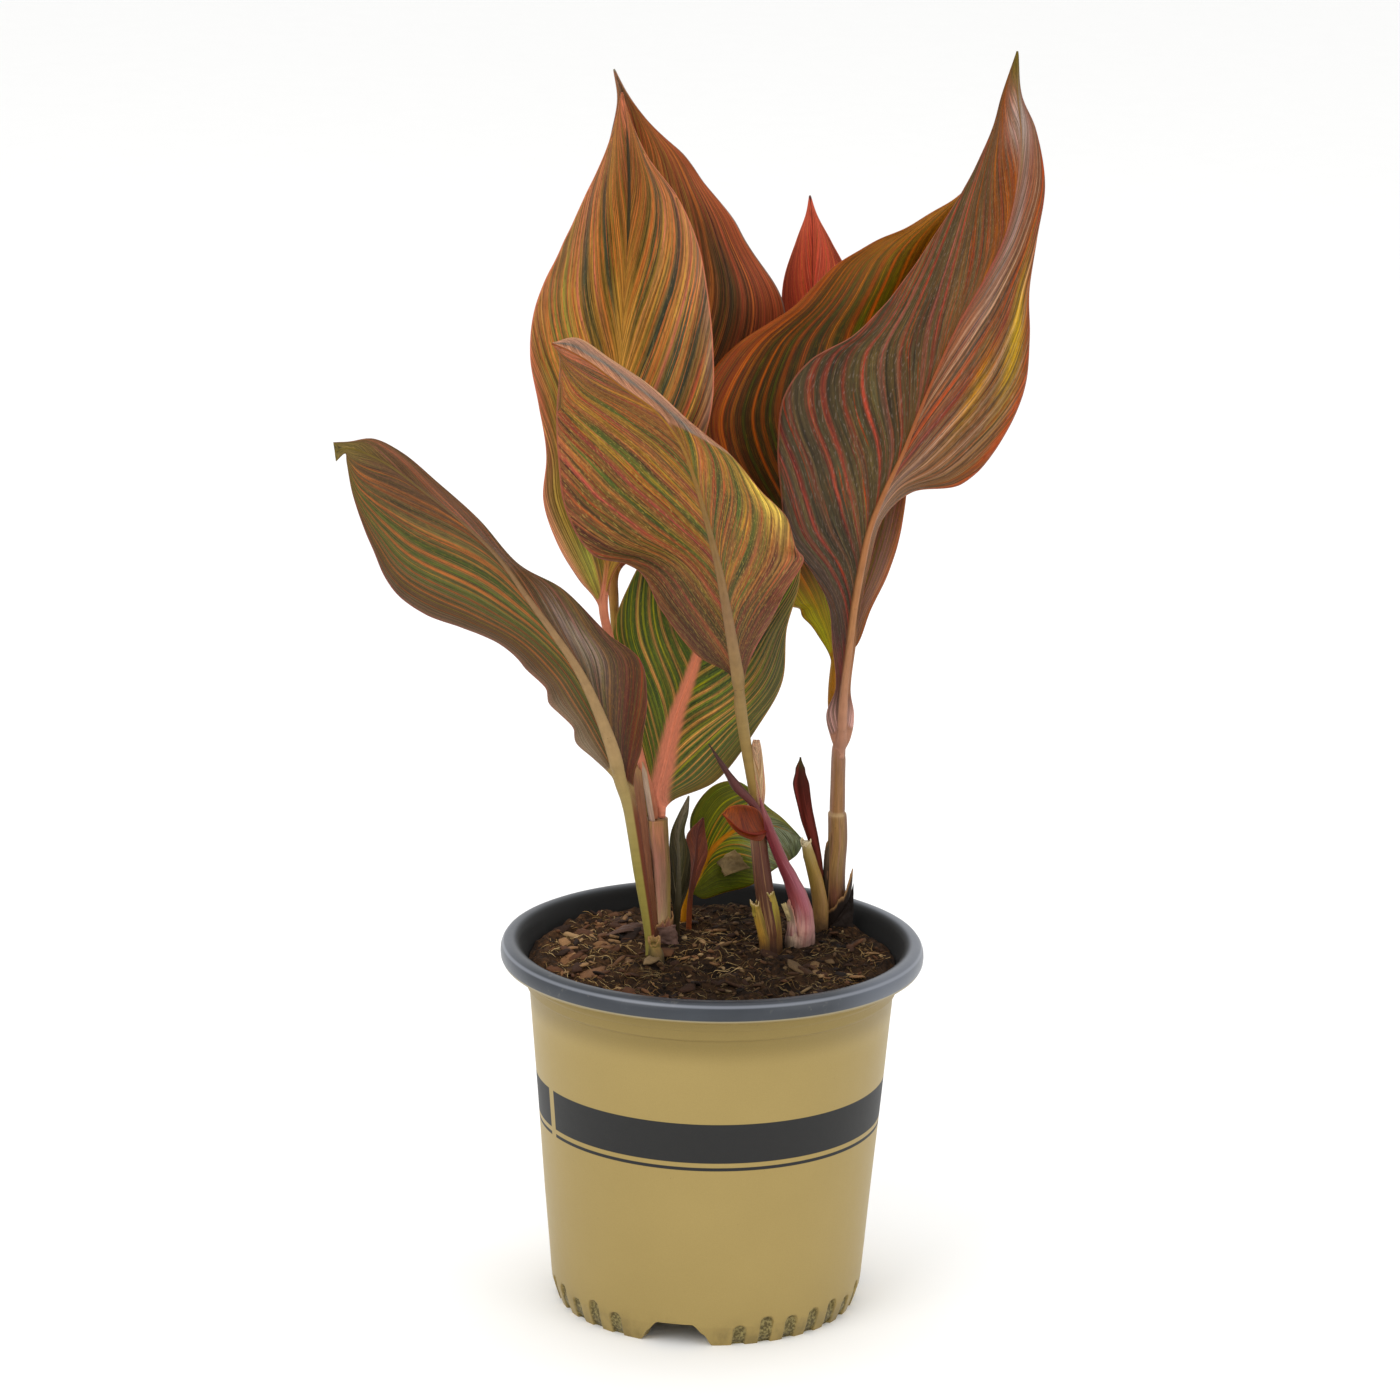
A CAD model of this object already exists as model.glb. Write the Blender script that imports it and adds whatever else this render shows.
"""Canna lily in its nursery pot: the finished look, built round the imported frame.

Plant and pot are laid out in millimetres from the pot's axis, +Z up, and turned into metres when a
mesh is made. Leaves are lofted from rows of [midrib, left margin, right margin]; their colours run
along the veins, which leave the midrib and bend towards the tip.
"""
from itertools import product
from math import cos, pi, radians, sin

import bpy
import numpy as np
from mathutils import Matrix, Vector


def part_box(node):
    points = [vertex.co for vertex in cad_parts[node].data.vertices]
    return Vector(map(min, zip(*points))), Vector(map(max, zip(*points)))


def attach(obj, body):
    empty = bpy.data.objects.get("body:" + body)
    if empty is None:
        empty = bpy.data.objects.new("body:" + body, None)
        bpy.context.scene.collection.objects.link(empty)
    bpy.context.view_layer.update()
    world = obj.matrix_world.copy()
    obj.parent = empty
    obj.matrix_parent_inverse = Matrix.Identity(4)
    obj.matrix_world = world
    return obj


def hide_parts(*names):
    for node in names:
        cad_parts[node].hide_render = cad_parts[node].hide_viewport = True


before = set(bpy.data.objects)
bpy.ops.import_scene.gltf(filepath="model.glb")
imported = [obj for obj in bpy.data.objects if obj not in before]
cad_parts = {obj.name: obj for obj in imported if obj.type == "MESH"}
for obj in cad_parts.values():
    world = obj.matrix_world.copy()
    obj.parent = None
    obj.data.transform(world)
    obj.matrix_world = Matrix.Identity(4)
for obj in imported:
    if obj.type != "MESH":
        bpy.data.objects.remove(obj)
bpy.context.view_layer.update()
pot_low, pot_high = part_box("pot")
AXIS = Vector(((pot_low.x + pot_high.x) / 2, (pot_low.y + pot_high.y) / 2, 0))
MM = 0.001

# ---- driving dimensions, mm ----
BLADE = 0.7              # thickness of the leaf blades in the frame
THIN = 0.5               # thickness of the blades built here
TIP_R = 0.35             # midrib at a leaf's tip
PLEAT = 4.3              # from one pleat of a blade to the next, along the midrib
ROOT_Z = 134             # foot of every stalk, inside the compost
SOIL_Z = 144.6           # mean level of the compost
SOIL_R = 73.6            # where the compost meets the pot
SOIL_EDGE_Z = 142.2      # the compost's height there
FLOOR_Z = 9              # upper side of the pot's floor
UNDER_Z = 7.6            # under side of the floor
FOOT_TOP = 14.5          # top of the zone of arches and recesses
WALL_TOP = 131.5         # where the wall meets the collar
BAND = (79.9, 96.5)      # printed band on the wall
LINE = (76.6, 78.0)      # thin printed line under it
SEAM = (-155.6, -152.4)  # gap between the ends of the print, degrees from +X
NOTCHES = 3              # drain arches in the foot ring
NOTCH_AT = -101.3        # direction of the first, degrees from +X
NOTCH_APART = 120        # from one arch to the next, degrees
NOTCH_HALF = 16          # half of an arch's zone, degrees
NOTCH_R = 61             # radius at which its width is measured
NOTCH_HIGH = 9.6         # crown of an arch
NOTCH_STEP = 5.2         # its shoulders on either side
RECESSES = 8             # shallow recesses between two arches
RECESS_FIRST = 24        # from an arch to the first of them, degrees
RECESS_APART = 10.29     # from one recess to the next, degrees
RECESS_WIDE = 5.6
RECESS_R = 62.5          # radius at which their width is measured
RECESS_FLOOR = 61.4      # radius of their floor
STREWN_R = 72            # the middles of chips and fibres lie within it
CHIP_R = 73.2            # how far out a chip may reach
FIBRE_R = 72.5           # how far out a fibre may reach
CHIPS = 620              # bark chips strewn on the compost
FIBRES = 2350            # root fibres strewn on it

# ---- colours, sRGB ----
PALETTE = dict(
    teal="#363c28", green="#48521c", olive="#64541a", moss="#43431a", lime="#9a9432", amber="#b5842e",
    ochre="#94692c", orange="#bb6428", coral="#c2694a", red="#a2402a", rust="#8a4826", brown="#5a3319",
    dark="#38241a", umber="#5e3f2a", bronze="#80602f", wine="#48211c", slate="#584636", dusty="#95564a",
    pink="#b87866", mauve="#94695a", lilac="#a58f86", grey="#77726a", tan="#9c7448", peach="#c08c5c",
    yellow="#c9a542", straw="#c9b184", cream="#d9c9a4", leafgreen="#49501f", deepgreen="#2f3a17",
    waxy="#6f7c66", petiole="#8d7a30", flesh="#b08a70", salmon="#c8785a", shade="#2a1d16", gold="#d0761f",
    sienna="#a8501e", copper="#9e5c32", brick="#96443a", scarlet="#b8402c", dusky="#93443a",
)


def linear(colour):
    """a palette name or #rrggbb as linear RGB"""
    text = PALETTE.get(colour, colour).lstrip("#")
    srgb = np.array([int(text[i:i + 2], 16) for i in (0, 2, 4)]) / 255
    return tuple(np.where(srgb <= 0.04045, srgb / 12.92, ((srgb + 0.055) / 1.055) ** 2.4))


# ---- arithmetic ----
def smooth(x, low, high):
    """0 at low, 1 at high, with soft ends"""
    t = np.clip((x - low) / (high - low), 0, 1)
    return t * t * (3 - 2 * t)


def unit(a):
    """vectors of length 1"""
    return a / np.maximum(np.linalg.norm(a, axis=-1, keepdims=True), 1e-12)


def field(points, seed=0):
    """a smooth random field, about -1 to 1, at points (..., 3) one unit apart"""
    cell = np.floor(points).astype(np.int64)
    part = points - cell
    part = part * part * (3 - 2 * part)
    total = np.zeros(points.shape[:-1])
    for corner in product((0, 1), repeat=3):
        n = (cell + corner) @ np.array([1619, 31337, 6971]) + 1013 * seed
        n = (n << 13) ^ n
        n = (n * (n * n * 60493 + 19990303) + 1376312589) & 0x7FFFFFFF
        weight = np.prod(np.where(corner, part, 1 - part), axis=-1)
        total += weight * (n / 0x40000000 - 1)
    return total


def spline(points, t):
    """centripetal Catmull-Rom curve through the points, at parameters 0 to len - 1"""
    p = np.asarray(points, float)
    last = len(p) - 1
    p = np.vstack([2 * p[0] - p[1], p, 2 * p[-1] - p[-2]])
    k = np.clip(np.floor(t).astype(int), 0, last - 1)
    w = (t - k)[:, None]
    p0, p1, p2, p3 = p[k], p[k + 1], p[k + 2], p[k + 3]

    def gap(a, b):
        return np.sum((a - b) ** 2, 1)[:, None] ** 0.25

    d1 = np.maximum(gap(p1, p2), 1e-4)
    d0 = np.where(gap(p0, p1) < 1e-4, d1, gap(p0, p1))
    d2 = np.where(gap(p2, p3) < 1e-4, d1, gap(p2, p3))
    t1 = ((p1 - p0) / d0 - (p2 - p0) / (d0 + d1) + (p2 - p1) / d1) * d1
    t2 = ((p2 - p1) / d1 - (p3 - p1) / (d1 + d2) + (p3 - p2) / d2) * d1
    cubic = -3 * p1 + 3 * p2 - 2 * t1 - t2
    return p1 + t1 * w + cubic * w ** 2 + (2 * p1 - 2 * p2 + t1 + t2) * w ** 3


def even_times(points, step):
    """parameters along a spline that lie about `step` apart"""
    dense = np.linspace(0, len(points) - 1, 60 * len(points))
    line = spline(points, dense)
    arc = np.concatenate([[0], np.cumsum(np.linalg.norm(np.diff(line, axis=0), axis=1))])
    count = max(int(arc[-1] / step), 6) + 1
    return np.interp(np.linspace(0, arc[-1], count), arc, dense)


# ---- meshes ----
def grid_faces(rows, columns, start=0, closed=False, flip=False):
    """quads of a grid of points; a closed one joins its last column to its first"""
    i, j = np.meshgrid(np.arange(rows - 1), np.arange(columns if closed else columns - 1), indexing="ij")
    a = (start + i * columns + j).ravel()
    b = (start + i * columns + (j + 1) % columns).ravel()
    quads = np.stack([a, b, b + columns, a + columns], 1)
    return quads[:, ::-1] if flip else quads


def sheet_faces(rows, columns):
    """faces of a thin closed sheet: its front grid, its back grid and the four edges between them"""
    half = rows * columns
    left = np.arange(rows - 1) * columns
    right = left + columns - 1
    foot = np.arange(columns - 1)
    tip = foot + (rows - 1) * columns
    return np.concatenate([
        grid_faces(rows, columns), grid_faces(rows, columns, half, flip=True),
        np.stack([left, left + columns, half + left + columns, half + left], 1),
        np.stack([right, half + right, half + right + columns, right + columns], 1),
        np.stack([foot, half + foot, half + foot + 1, foot + 1], 1),
        np.stack([tip, tip + 1, half + tip + 1, half + tip], 1),
    ]).tolist()


def fan(start, count, middle, flip=False):
    """triangles from a ring of points to a middle point"""
    pairs = [(start + j, start + (j + 1) % count) for j in range(count)]
    return [[b, a, middle] if flip else [a, b, middle] for a, b in pairs]


def circles(angles, rings):
    """rows of points round the pot's axis; rings are (radius, height), a number or one a direction"""
    across, along = np.cos(angles), np.sin(angles)
    rows = [np.broadcast_arrays(r * across, r * along, np.asarray(z, float)) for r, z in rings]
    return np.array(rows).transpose(0, 2, 1)


def make(name, points, faces, material, replaces=(), slot=None, **attributes):
    """a mesh piece from points in mm; attributes are one number or one RGBA colour a point"""
    mesh = bpy.data.meshes.new(name)
    mesh.from_pydata((np.asarray(points) * MM + np.array(AXIS)).tolist(), [], [list(f) for f in faces])
    for key, values in attributes.items():
        values = np.asarray(values, np.float32)
        is_colour = values.ndim == 2
        layer = mesh.attributes.new(key, "FLOAT_COLOR" if is_colour else "FLOAT", "POINT")
        layer.data.foreach_set("color" if is_colour else "value", values.ravel())
    mesh.materials.append(material)
    mesh.validate()
    mesh.shade_smooth()
    piece = bpy.data.objects.new(name, mesh)
    bpy.context.scene.collection.objects.link(piece)
    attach(piece, "root")
    if replaces:
        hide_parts(*([replaces] if isinstance(replaces, str) else replaces))
    return piece


def tint_layer(zones, x, y, wrap=None):
    """soft patches of colour: zones are (x, y, reach x, reach y, colour, amount)"""
    rgba = np.zeros(x.shape + (4,))
    rgba[..., :3] = linear("brown")
    for cx, cy, rx, ry, colour, amount in zones:
        dy = y - cy
        if wrap:
            dy = (dy + wrap / 2) % wrap - wrap / 2
        near = amount * np.exp(-(((x - cx) / rx) ** 2 + (dy / ry) ** 2) * 1.4)
        total = rgba[..., 3] * (1 - near) + near
        share = (near / np.maximum(total, 1e-9))[..., None]
        rgba[..., :3] = rgba[..., :3] * (1 - share) + np.array(linear(colour)) * share
        rgba[..., 3] = total
    return rgba.reshape(-1, 4)


# ---- materials ----
class Signal:
    """a node's output that can be added and multiplied"""

    def __init__(self, graph, socket):
        self.graph = graph
        self.socket = socket

    def __add__(self, other):
        return self.graph.math("ADD", self, other)

    def __sub__(self, other):
        return self.graph.math("SUBTRACT", self, other)

    def __rsub__(self, other):
        return self.graph.math("SUBTRACT", other, self)

    def __mul__(self, other):
        return self.graph.math("MULTIPLY", self, other)

    def __abs__(self):
        return self.graph.math("ABSOLUTE", self, 0)

    __radd__ = __add__
    __rmul__ = __mul__


class Graph:
    """builds a material's node tree"""

    def __init__(self, name, **shader):
        self.material = bpy.data.materials.new(name)
        self.material.use_nodes = True
        self.tree = self.material.node_tree
        self.shader = self.tree.nodes["Principled BSDF"]
        for key, value in shader.items():
            self.shader.inputs[key.replace("_", " ")].default_value = value

    def plug(self, socket, value):
        """links a signal to a socket, or sets its colour or number"""
        if isinstance(value, Signal):
            self.tree.links.new(value.socket, socket)
        elif isinstance(value, str):
            socket.default_value = (*linear(value), 1)
        else:
            socket.default_value = value

    def node(self, kind, inputs, output=0, **settings):
        """adds a shader node and gives one of its outputs"""
        node = self.tree.nodes.new("ShaderNode" + kind)
        for key, value in settings.items():
            setattr(node, key, value)
        for key, value in inputs.items():
            self.plug(node.inputs[key], value)
        return Signal(self, node.outputs[output])

    def math(self, operation, a, b=0.0):
        """one math node"""
        return self.node("Math", {0: a, 1: b}, operation=operation)

    def attribute(self, name, output="Fac"):
        """what a mesh attribute says here"""
        return self.node("Attribute", {}, output, attribute_name=name)

    def vector(self, x, y, z=0.0):
        """three signals as one vector"""
        return self.node("CombineXYZ", {0: x, 1: y, 2: z})

    def noise(self, vector, scale=1.0, detail=2.0, roughness=0.5):
        """a noise texture, about 0 to 1"""
        inputs = {"Vector": vector, "Scale": scale, "Detail": detail, "Roughness": roughness}
        return self.node("TexNoise", inputs)

    def place(self):
        """the position on the object, in metres"""
        return self.node("NewGeometry", {}, "Position")

    def step(self, x, low, high):
        """0 below low, 1 above high, with soft ends"""
        inputs = {0: x, 1: low, 2: high, 3: 0.0, 4: 1.0}
        return self.node("MapRange", inputs, interpolation_type="SMOOTHSTEP")

    def band(self, x, low, high, soft):
        """1 between low and high"""
        return self.step(x, low - soft, low + soft) * (1 - self.step(x, high - soft, high + soft))

    def mix(self, a, b, amount, blend="MIX"):
        """a colour between a and b"""
        return self.node("Mix", {0: amount, 6: a, 7: b}, 2, data_type="RGBA", blend_type=blend)

    def shade(self, colour, amount):
        """multiplies a colour by a grey signal"""
        grey = self.node("CombineColor", {0: amount, 1: amount, 2: amount})
        return self.mix(colour, grey, 1.0, "MULTIPLY")

    def ramp(self, x, stops, low=0.0, high=1.0):
        """colour stops (x, colour[, alpha]) between low and high; gives colour and alpha"""
        position = self.node("MapRange", {0: x, 1: low, 2: high, 3: 0.0, 4: 1.0})
        node = self.tree.nodes.new("ShaderNodeValToRGB")
        self.plug(node.inputs[0], position)
        elements = node.color_ramp.elements
        last = -1.0
        for i, (at, colour, *alpha) in enumerate(stops):
            last = min(max((at - low) / (high - low), last + 1e-4, 0.0), 1.0)
            element = elements[i] if i < 2 else elements.new(last)
            element.position = last
            element.color = (*linear(colour), alpha[0] if alpha else 1.0)
        return Signal(self, node.outputs["Color"]), Signal(self, node.outputs["Alpha"])

    def stripes(self, x, colour, stripes, low, high):
        """lays (position, width, colour, strength) stripes over a colour, as many to a ramp as fit"""
        stripes = sorted(stripes)
        fit = 8
        for i in range(0, len(stripes), fit):
            stops = []
            for at, width, name, *strength in stripes[i:i + fit]:
                k = strength[0] if strength else 1.0
                soft = min(0.006, 0.3 * width)
                near = (at - width / 2, at + width / 2)
                stops += [(near[0] - soft, name, 0.0), (near[0] + soft, name, k)]
                stops += [(near[1] - soft, name, k), (near[1] + soft, name, 0.0)]
            over, alpha = self.ramp(x, stops, low, high)
            colour = self.mix(colour, over, alpha)
        return colour

    def bump(self, height, distance):
        """a normal bent by a height signal; the distance is in metres"""
        return self.node("Bump", {"Height": height, "Distance": distance})

    def finish(self, colour, roughness=None, normal=None):
        """plugs the shader's sockets and gives the material"""
        self.plug(self.shader.inputs["Base Color"], colour)
        if roughness is not None:
            self.plug(self.shader.inputs["Roughness"], roughness)
        if normal:
            self.plug(self.shader.inputs["Normal"], normal)
        return self.material


# ---- leaves: form ----
def leaf_rows(stalk, blade):
    """rows of the loft: midrib, left margin, right margin and rib radius, from stalk foot to tip"""
    pointed = not isinstance(blade[-1][0], (list, tuple))
    middles = [b[0] if isinstance(b[0], (list, tuple)) else b for b in blade]
    ribs = np.array([s[:3] for s in stalk] + middles, float)
    start = stalk[-1][3]
    left, right, radius = [], [], []
    for i, c in enumerate(ribs):
        along = ribs[min(i + 1, len(ribs) - 1)] - ribs[max(i - 1, 0)]
        side = unit(np.cross([0, 1, 0], along))
        k = i - len(stalk)
        open_row = k >= 0 and not (pointed and k == len(blade) - 1)
        r = stalk[i][3] if k < 0 else start + (TIP_R - start) * ((k + 1) / len(blade)) ** 0.8
        left.append(blade[k][1] if open_row else c - side * r)
        right.append(blade[k][2] if open_row else c + side * r)
        radius.append(r)
    return ribs, np.array(left, float), np.array(right, float), np.array(radius)


def vein_start(u, v, low, high, share, foot_power, tip_power):
    """how far up the midrib the vein through (u, v) starts; below 0 the scale is pressed together

    Veins near the foot reach `low` of what is left of the leaf beyond their start, those above two
    thirds of it `high`.
    """
    start = u.copy()
    for _ in range(24):
        t = smooth(start, -0.1, 0.65)
        power = foot_power + (tip_power - foot_power) * t
        k = np.clip((low + (high - low) * t) * (share * v ** power + (1 - share) * v ** 3), 0, 0.97)
        start = 0.5 * start + 0.5 * (u - k) / (1 - k)
    return np.where(start < 0, -np.log(1 - 2 * np.minimum(start, 0)) / 2, start)


def half_columns(ratio, opened, count):
    """positions from midrib to margin: round like the stalk at its foot, even across the blade"""
    rib = np.array([0, 0.3, 0.6, 0.85, 1.0])
    rest = np.linspace(0, 1, count - 3)[1:] ** 0.95
    blade = np.concatenate([rib * ratio[:, None], ratio[:, None] + rest * (1 - ratio[:, None])], 1)
    round_part = np.sin(np.linspace(0, pi / 2, count + 1))
    return round_part * (1 - opened[:, None]) + blade * opened[:, None]


def leaf_mesh(spec, step=1.15, columns=30):
    """front and back of a leaf, with the attributes that its colours follow"""
    stalk, blade = spec["stalk"], spec["blade"]
    sheath = spec.get("sheath", 0)
    ribs, lefts, rights, radii = leaf_rows(stalk, blade)
    last = len(ribs) - 1
    times = even_times(ribs, step)
    c, left, right = (spline(rows, times) for rows in (ribs, lefts, rights))
    k = np.minimum(np.floor(times).astype(int), last - 1)
    r = radii[k] + (radii[k + 1] - radii[k]) * (times - k)
    along = unit(np.gradient(c, axis=0))
    normal = unit(np.cross(right - left, along)) * (1 if spec["upper"] else -1)
    turn = (times - len(stalk) + 1 - sheath) / (len(blade) - sheath)
    arc = np.concatenate([[0], np.cumsum(np.linalg.norm(np.diff(c, axis=0), axis=1))])
    foot = np.interp(len(stalk) - 1 + sheath, times, arc)
    length = arc[-1] - foot
    rise = (arc - foot) / length
    row = times - len(stalk)
    slim = r * (1 - spec.get("slim", 0.6) * smooth(rise, 0.0, 0.8))
    halves = []
    for sign, margin, veins in ((-1, left, spec["veins"][0]), (1, right, spec["veins"][1])):
        across = margin - c
        width = np.maximum(np.linalg.norm(across, axis=1), r * 1.02)
        across = unit(across)
        opened = smooth(width / r, 1, 2.6)
        v = half_columns(slim / width, opened, columns)
        u = rise[:, None] + v * (np.sum((margin - c) * along, 1) / length)[:, None]
        start = vein_start(u, v, *veins)
        swing = np.sin(2 * pi * (spec["waves"] * turn + spec["phase"] + (0 if sign > 0 else 0.37)))
        envelope = spec["wave"] * np.sin(pi * np.clip(turn, 0, 1)) * swing
        lift = (spec["camber"] * width)[:, None] * 4 * v * (1 - v) + envelope[:, None] * v * v
        uneven = 1.5 * field(np.stack([start * 9, v * 3, v * 0], -1))
        pleat = np.sin(2 * pi * (start * length / PLEAT + uneven))
        lift += 0.07 * pleat * smooth(v, 0.1, 0.3) * (1 - smooth(v, 0.85, 1)) * smooth(width, 4, 12)[:, None]
        edge = field(np.stack([arc[:, None] / 7 + 0 * v, sign + 0 * v, v * 0], -1), 3)
        lift += spec.get("ripple", 0.5) * edge * v ** 5 * smooth(width, 5, 25)[:, None]
        out = v * width[:, None]
        for at, reach, which, outward, up in spec.get("frills", ()):
            near = (np.exp(-((row - at) / reach) ** 2) * (which == sign))[:, None]
            out = out + outward * near * v ** 4
            lift = lift + up * near * v ** 3
        p = c[:, None] + across[:, None] * out[..., None]
        p = p + normal[:, None] * (opened[:, None] * lift)[..., None]
        rib = v * width[:, None] / slim[:, None]
        bulge = np.maximum(0, 2 * slim - BLADE)[:, None] * np.sqrt(np.maximum(0, 1 - np.minimum(1, rib) ** 2))
        thick = THIN / 2 * (1 - 0.5 * smooth(v, 0.95, 1) * opened[:, None])
        halves.append(
            dict(
                p=p, vein=start, cross=sign * v, u=u, rib=rib * opened[:, None], bulge=bulge, thick=thick,
                opened=opened[:, None] + 0 * v,
            ),
        )
    return {key: np.concatenate([halves[0][key][:, :0:-1], halves[1][key]], 1) for key in halves[0]}


def leaf_piece(name, spec, material, piece=None):
    """a leaf's mesh piece; it replaces the node `name` unless it has a name of its own"""
    both = leaf_mesh(spec, spec.get("step", 1.15), spec.get("columns", 30))
    p = both["p"]
    rows, columns = p.shape[:2]
    normal = unit(np.cross(np.gradient(p, axis=1), np.gradient(p, axis=0)))
    share = 0.5 * (1 - both["opened"]) + 0.12 * both["opened"]
    top = (both["thick"] + share * both["bulge"])[..., None] * normal
    under = (both["thick"] + (1 - share) * both["bulge"])[..., None] * normal
    front, back = (p + top, p - under) if spec["upper"] else (p + under, p - top)
    points = np.concatenate([front.reshape(-1, 3), back.reshape(-1, 3)])
    shown = np.full(rows * columns, 0.0 if spec["upper"] else 1.0)
    values = {key: np.tile(both[key].ravel(), 2) for key in ("vein", "cross", "u", "rib")}
    tint = tint_layer(spec.get("zones", ()), both["u"], both["cross"])
    values.update(under=np.concatenate([shown, 1 - shown]), tint=np.concatenate([tint, tint]))
    label, replaced = (piece, ()) if piece else (name + "_blade", name)
    faces = sheet_faces(rows, columns)
    return make(label, points, faces, material, replaced, spec["slot"], **values)


# ---- leaves: colour ----
VEIN_LOW, VEIN_HIGH = -1.6, 1.0


def blade_paint(g, look, u, v, side, bent, drift):
    """ground and stripes of each half, short streaks between them, patches of tint, a folded-over strip"""
    halves = []
    for ground, stripes in look["sides"]:
        colour, _ = g.ramp(bent, ground, VEIN_LOW, VEIN_HIGH)
        stripes = [(at, width * look.get("thin", 1), *rest) for at, width, *rest in stripes]
        halves.append(g.stripes(bent, colour, stripes, VEIN_LOW, VEIN_HIGH))
    colour = g.mix(*halves, side)
    seed = look["seed"]
    fine = look.get("fine", 85)
    for i, (streak, amount, cut) in enumerate(look["streaks"]):
        spot = g.vector(bent * fine + 31.7 * i, v * 1.6 + 5 * i, side * 9 + seed + i)
        pattern = g.noise(spot, 1, 2, 0.55)
        colour = g.mix(colour, streak, g.step(pattern, cut, cut + 0.035) * amount)
    stay = g.noise(g.vector(bent * 50, v * 1.2, seed + 20), 1, 1)
    tint = g.mix(g.attribute("tint", "Color"), look.get("comb", "moss"), g.step(stay, 0.5, 0.55) * 0.5)
    colour = g.mix(colour, tint, g.attribute("tint", "Alpha"))
    if "fold" in look:
        start, slope, across = look["fold"]
        strip, _ = g.ramp(v + drift * 0.3, across)
        colour = g.mix(colour, strip, g.step(u + v * slope, start - 0.008, start + 0.008) * side)
    broad = g.noise(g.vector(bent * 17, v * 1.5, side * 3 + seed + 70), 1, 1)
    return g.shade(colour, broad * 1.1 + 0.45)


def rib_paint(g, look, u, cross, rib, grain):
    """the midrib's colour along the leaf, with one flank of its stalk and dark specks"""
    colour, _ = g.ramp(u, look["rib"], -0.7, 1.0)
    colour = g.shade(colour, grain * 0.6 + 0.78 - g.step(rib, 0.5, 1.0) * 0.2)
    if "flank" in look:
        flank, inner, outer, low, high = look["flank"]
        colour = g.mix(colour, flank, g.step(cross, inner, outer) * g.band(u, low, high, 0.05))
    speck = g.noise(g.vector(rib * 5, u * 160, look["seed"] + 8), 1, 1)
    return g.mix(colour, "dark", g.step(speck, 0.7, 0.76) * 0.35)


def rib_cover(g, look, u, rib, side, bent, under):
    """1 on the midrib, fading out unevenly into the blade"""
    flare = g.noise(g.vector(bent * 34, side * 5, look["seed"]), 1, 1) - 0.4
    wide = look.get("rib_wide", 1.1) + flare * look.get("flare", 0.5)
    if "rib_top" in look:
        low, high, more = look["rib_top"]
        wide = wide + g.band(u, low, high, 0.03) * more
    soft = look.get("soft", 0.15)
    on_rib = 1 - g.step(rib - wide, -0.15 - soft, 0.15 + soft)
    upper_rib = look.get("upper_rib", 0.75)
    return on_rib * (under * (1 - upper_rib) + upper_rib)


def leaf_material(name, look):
    """stripes along the veins on each side of the midrib, fine lines between them, midrib, margin"""
    g = Graph(name, Specular_IOR_Level=look.get("shine", 0.2))
    vein, cross, rib = (g.attribute(key) for key in ("vein", "cross", "rib"))
    u, under = g.attribute("u"), g.attribute("under")
    v = abs(cross)
    side = g.step(cross, -0.001, 0.001)
    seed = look["seed"]
    drift = g.noise(g.vector(vein * 7, v * 1.1, side * 7 + seed), 1, 1) - 0.5
    fray = g.noise(g.vector(vein * 90, v * 6, side * 5 + seed), 1, 1) - 0.5
    bent = vein + drift * 0.014 + fray * 0.007
    colour = blade_paint(g, look, u, v, side, bent, drift)
    spot = g.vector(bent * (look.get("fine", 85) * 1.5), v * 1.8, side * 4 + seed + 40)
    ribbing = g.noise(spot, 1, 2, 0.6)
    colour = g.shade(colour, ribbing * 3.2 - 0.6)
    fleck = g.noise(g.vector(bent * 260, v * 42, seed), 1, 1)
    colour = g.mix(colour, look.get("fleck", "tan"), g.step(fleck, 0.6, 0.68) * look.get("flecks", 0.3))
    colour = g.mix(colour, "dark", (1 - g.step(fleck, 0.32, 0.4)) * 0.45)
    mottle = g.noise(g.vector(bent * 50, v * 16, side * 3 + seed), 1, 3, 0.6)
    colour = g.shade(colour, mottle * 0.8 + 0.6)
    far, hidden = ("mauve", under) if look["upper"] else ("brown", 1 - under)
    colour = g.mix(colour, far, hidden * 0.3)
    grain = g.noise(g.vector(rib * 2.6, u * 50, seed + 3), 1, 3)
    midrib = rib_paint(g, look, u, cross, rib, grain)
    colour = g.mix(colour, midrib, rib_cover(g, look, u, rib, side, bent, under))
    rim = g.step(v, 0.982, 0.994) * g.step(rib, 1.5, 3)
    colour = g.mix(colour, look["edge"], rim * 0.7)
    last = {"Saturation": look.get("rich", 1.05), "Value": look.get("light", 0.92), "Color": colour}
    relief = ribbing * -0.7 + mottle * 0.4 + grain * (1 - g.step(rib, 0.9, 1.2)) * 0.8
    gloss = mottle * 0.16 + look.get("rough", 0.36) + under * 0.06
    return g.finish(g.node("HueSaturation", last), gloss, g.bump(relief, 0.00022))


def repeat(stripes):
    """the same stripes on both sides of the midrib"""
    return [stripes, stripes]


# A leaf stands on a stalk of rows [x, y, z, radius] and goes on as a blade of rows [midrib, left
# margin, right margin]; a pointed blade ends in a midrib point alone. upper: the upper side faces
# forwards. sheath: how many blade rows are a winged sheath. camber, wave, waves, phase and ripple
# bend the blade and its margin, slim thins the midrib towards the tip, and veins holds vein_start's
# numbers for the left and the right half. frills push the margin out and up at one row of one half
# (-1 left, 1 right). zones are tints at (share of the length, share of the width, -1 to 1).
LEAVES = {}
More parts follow.
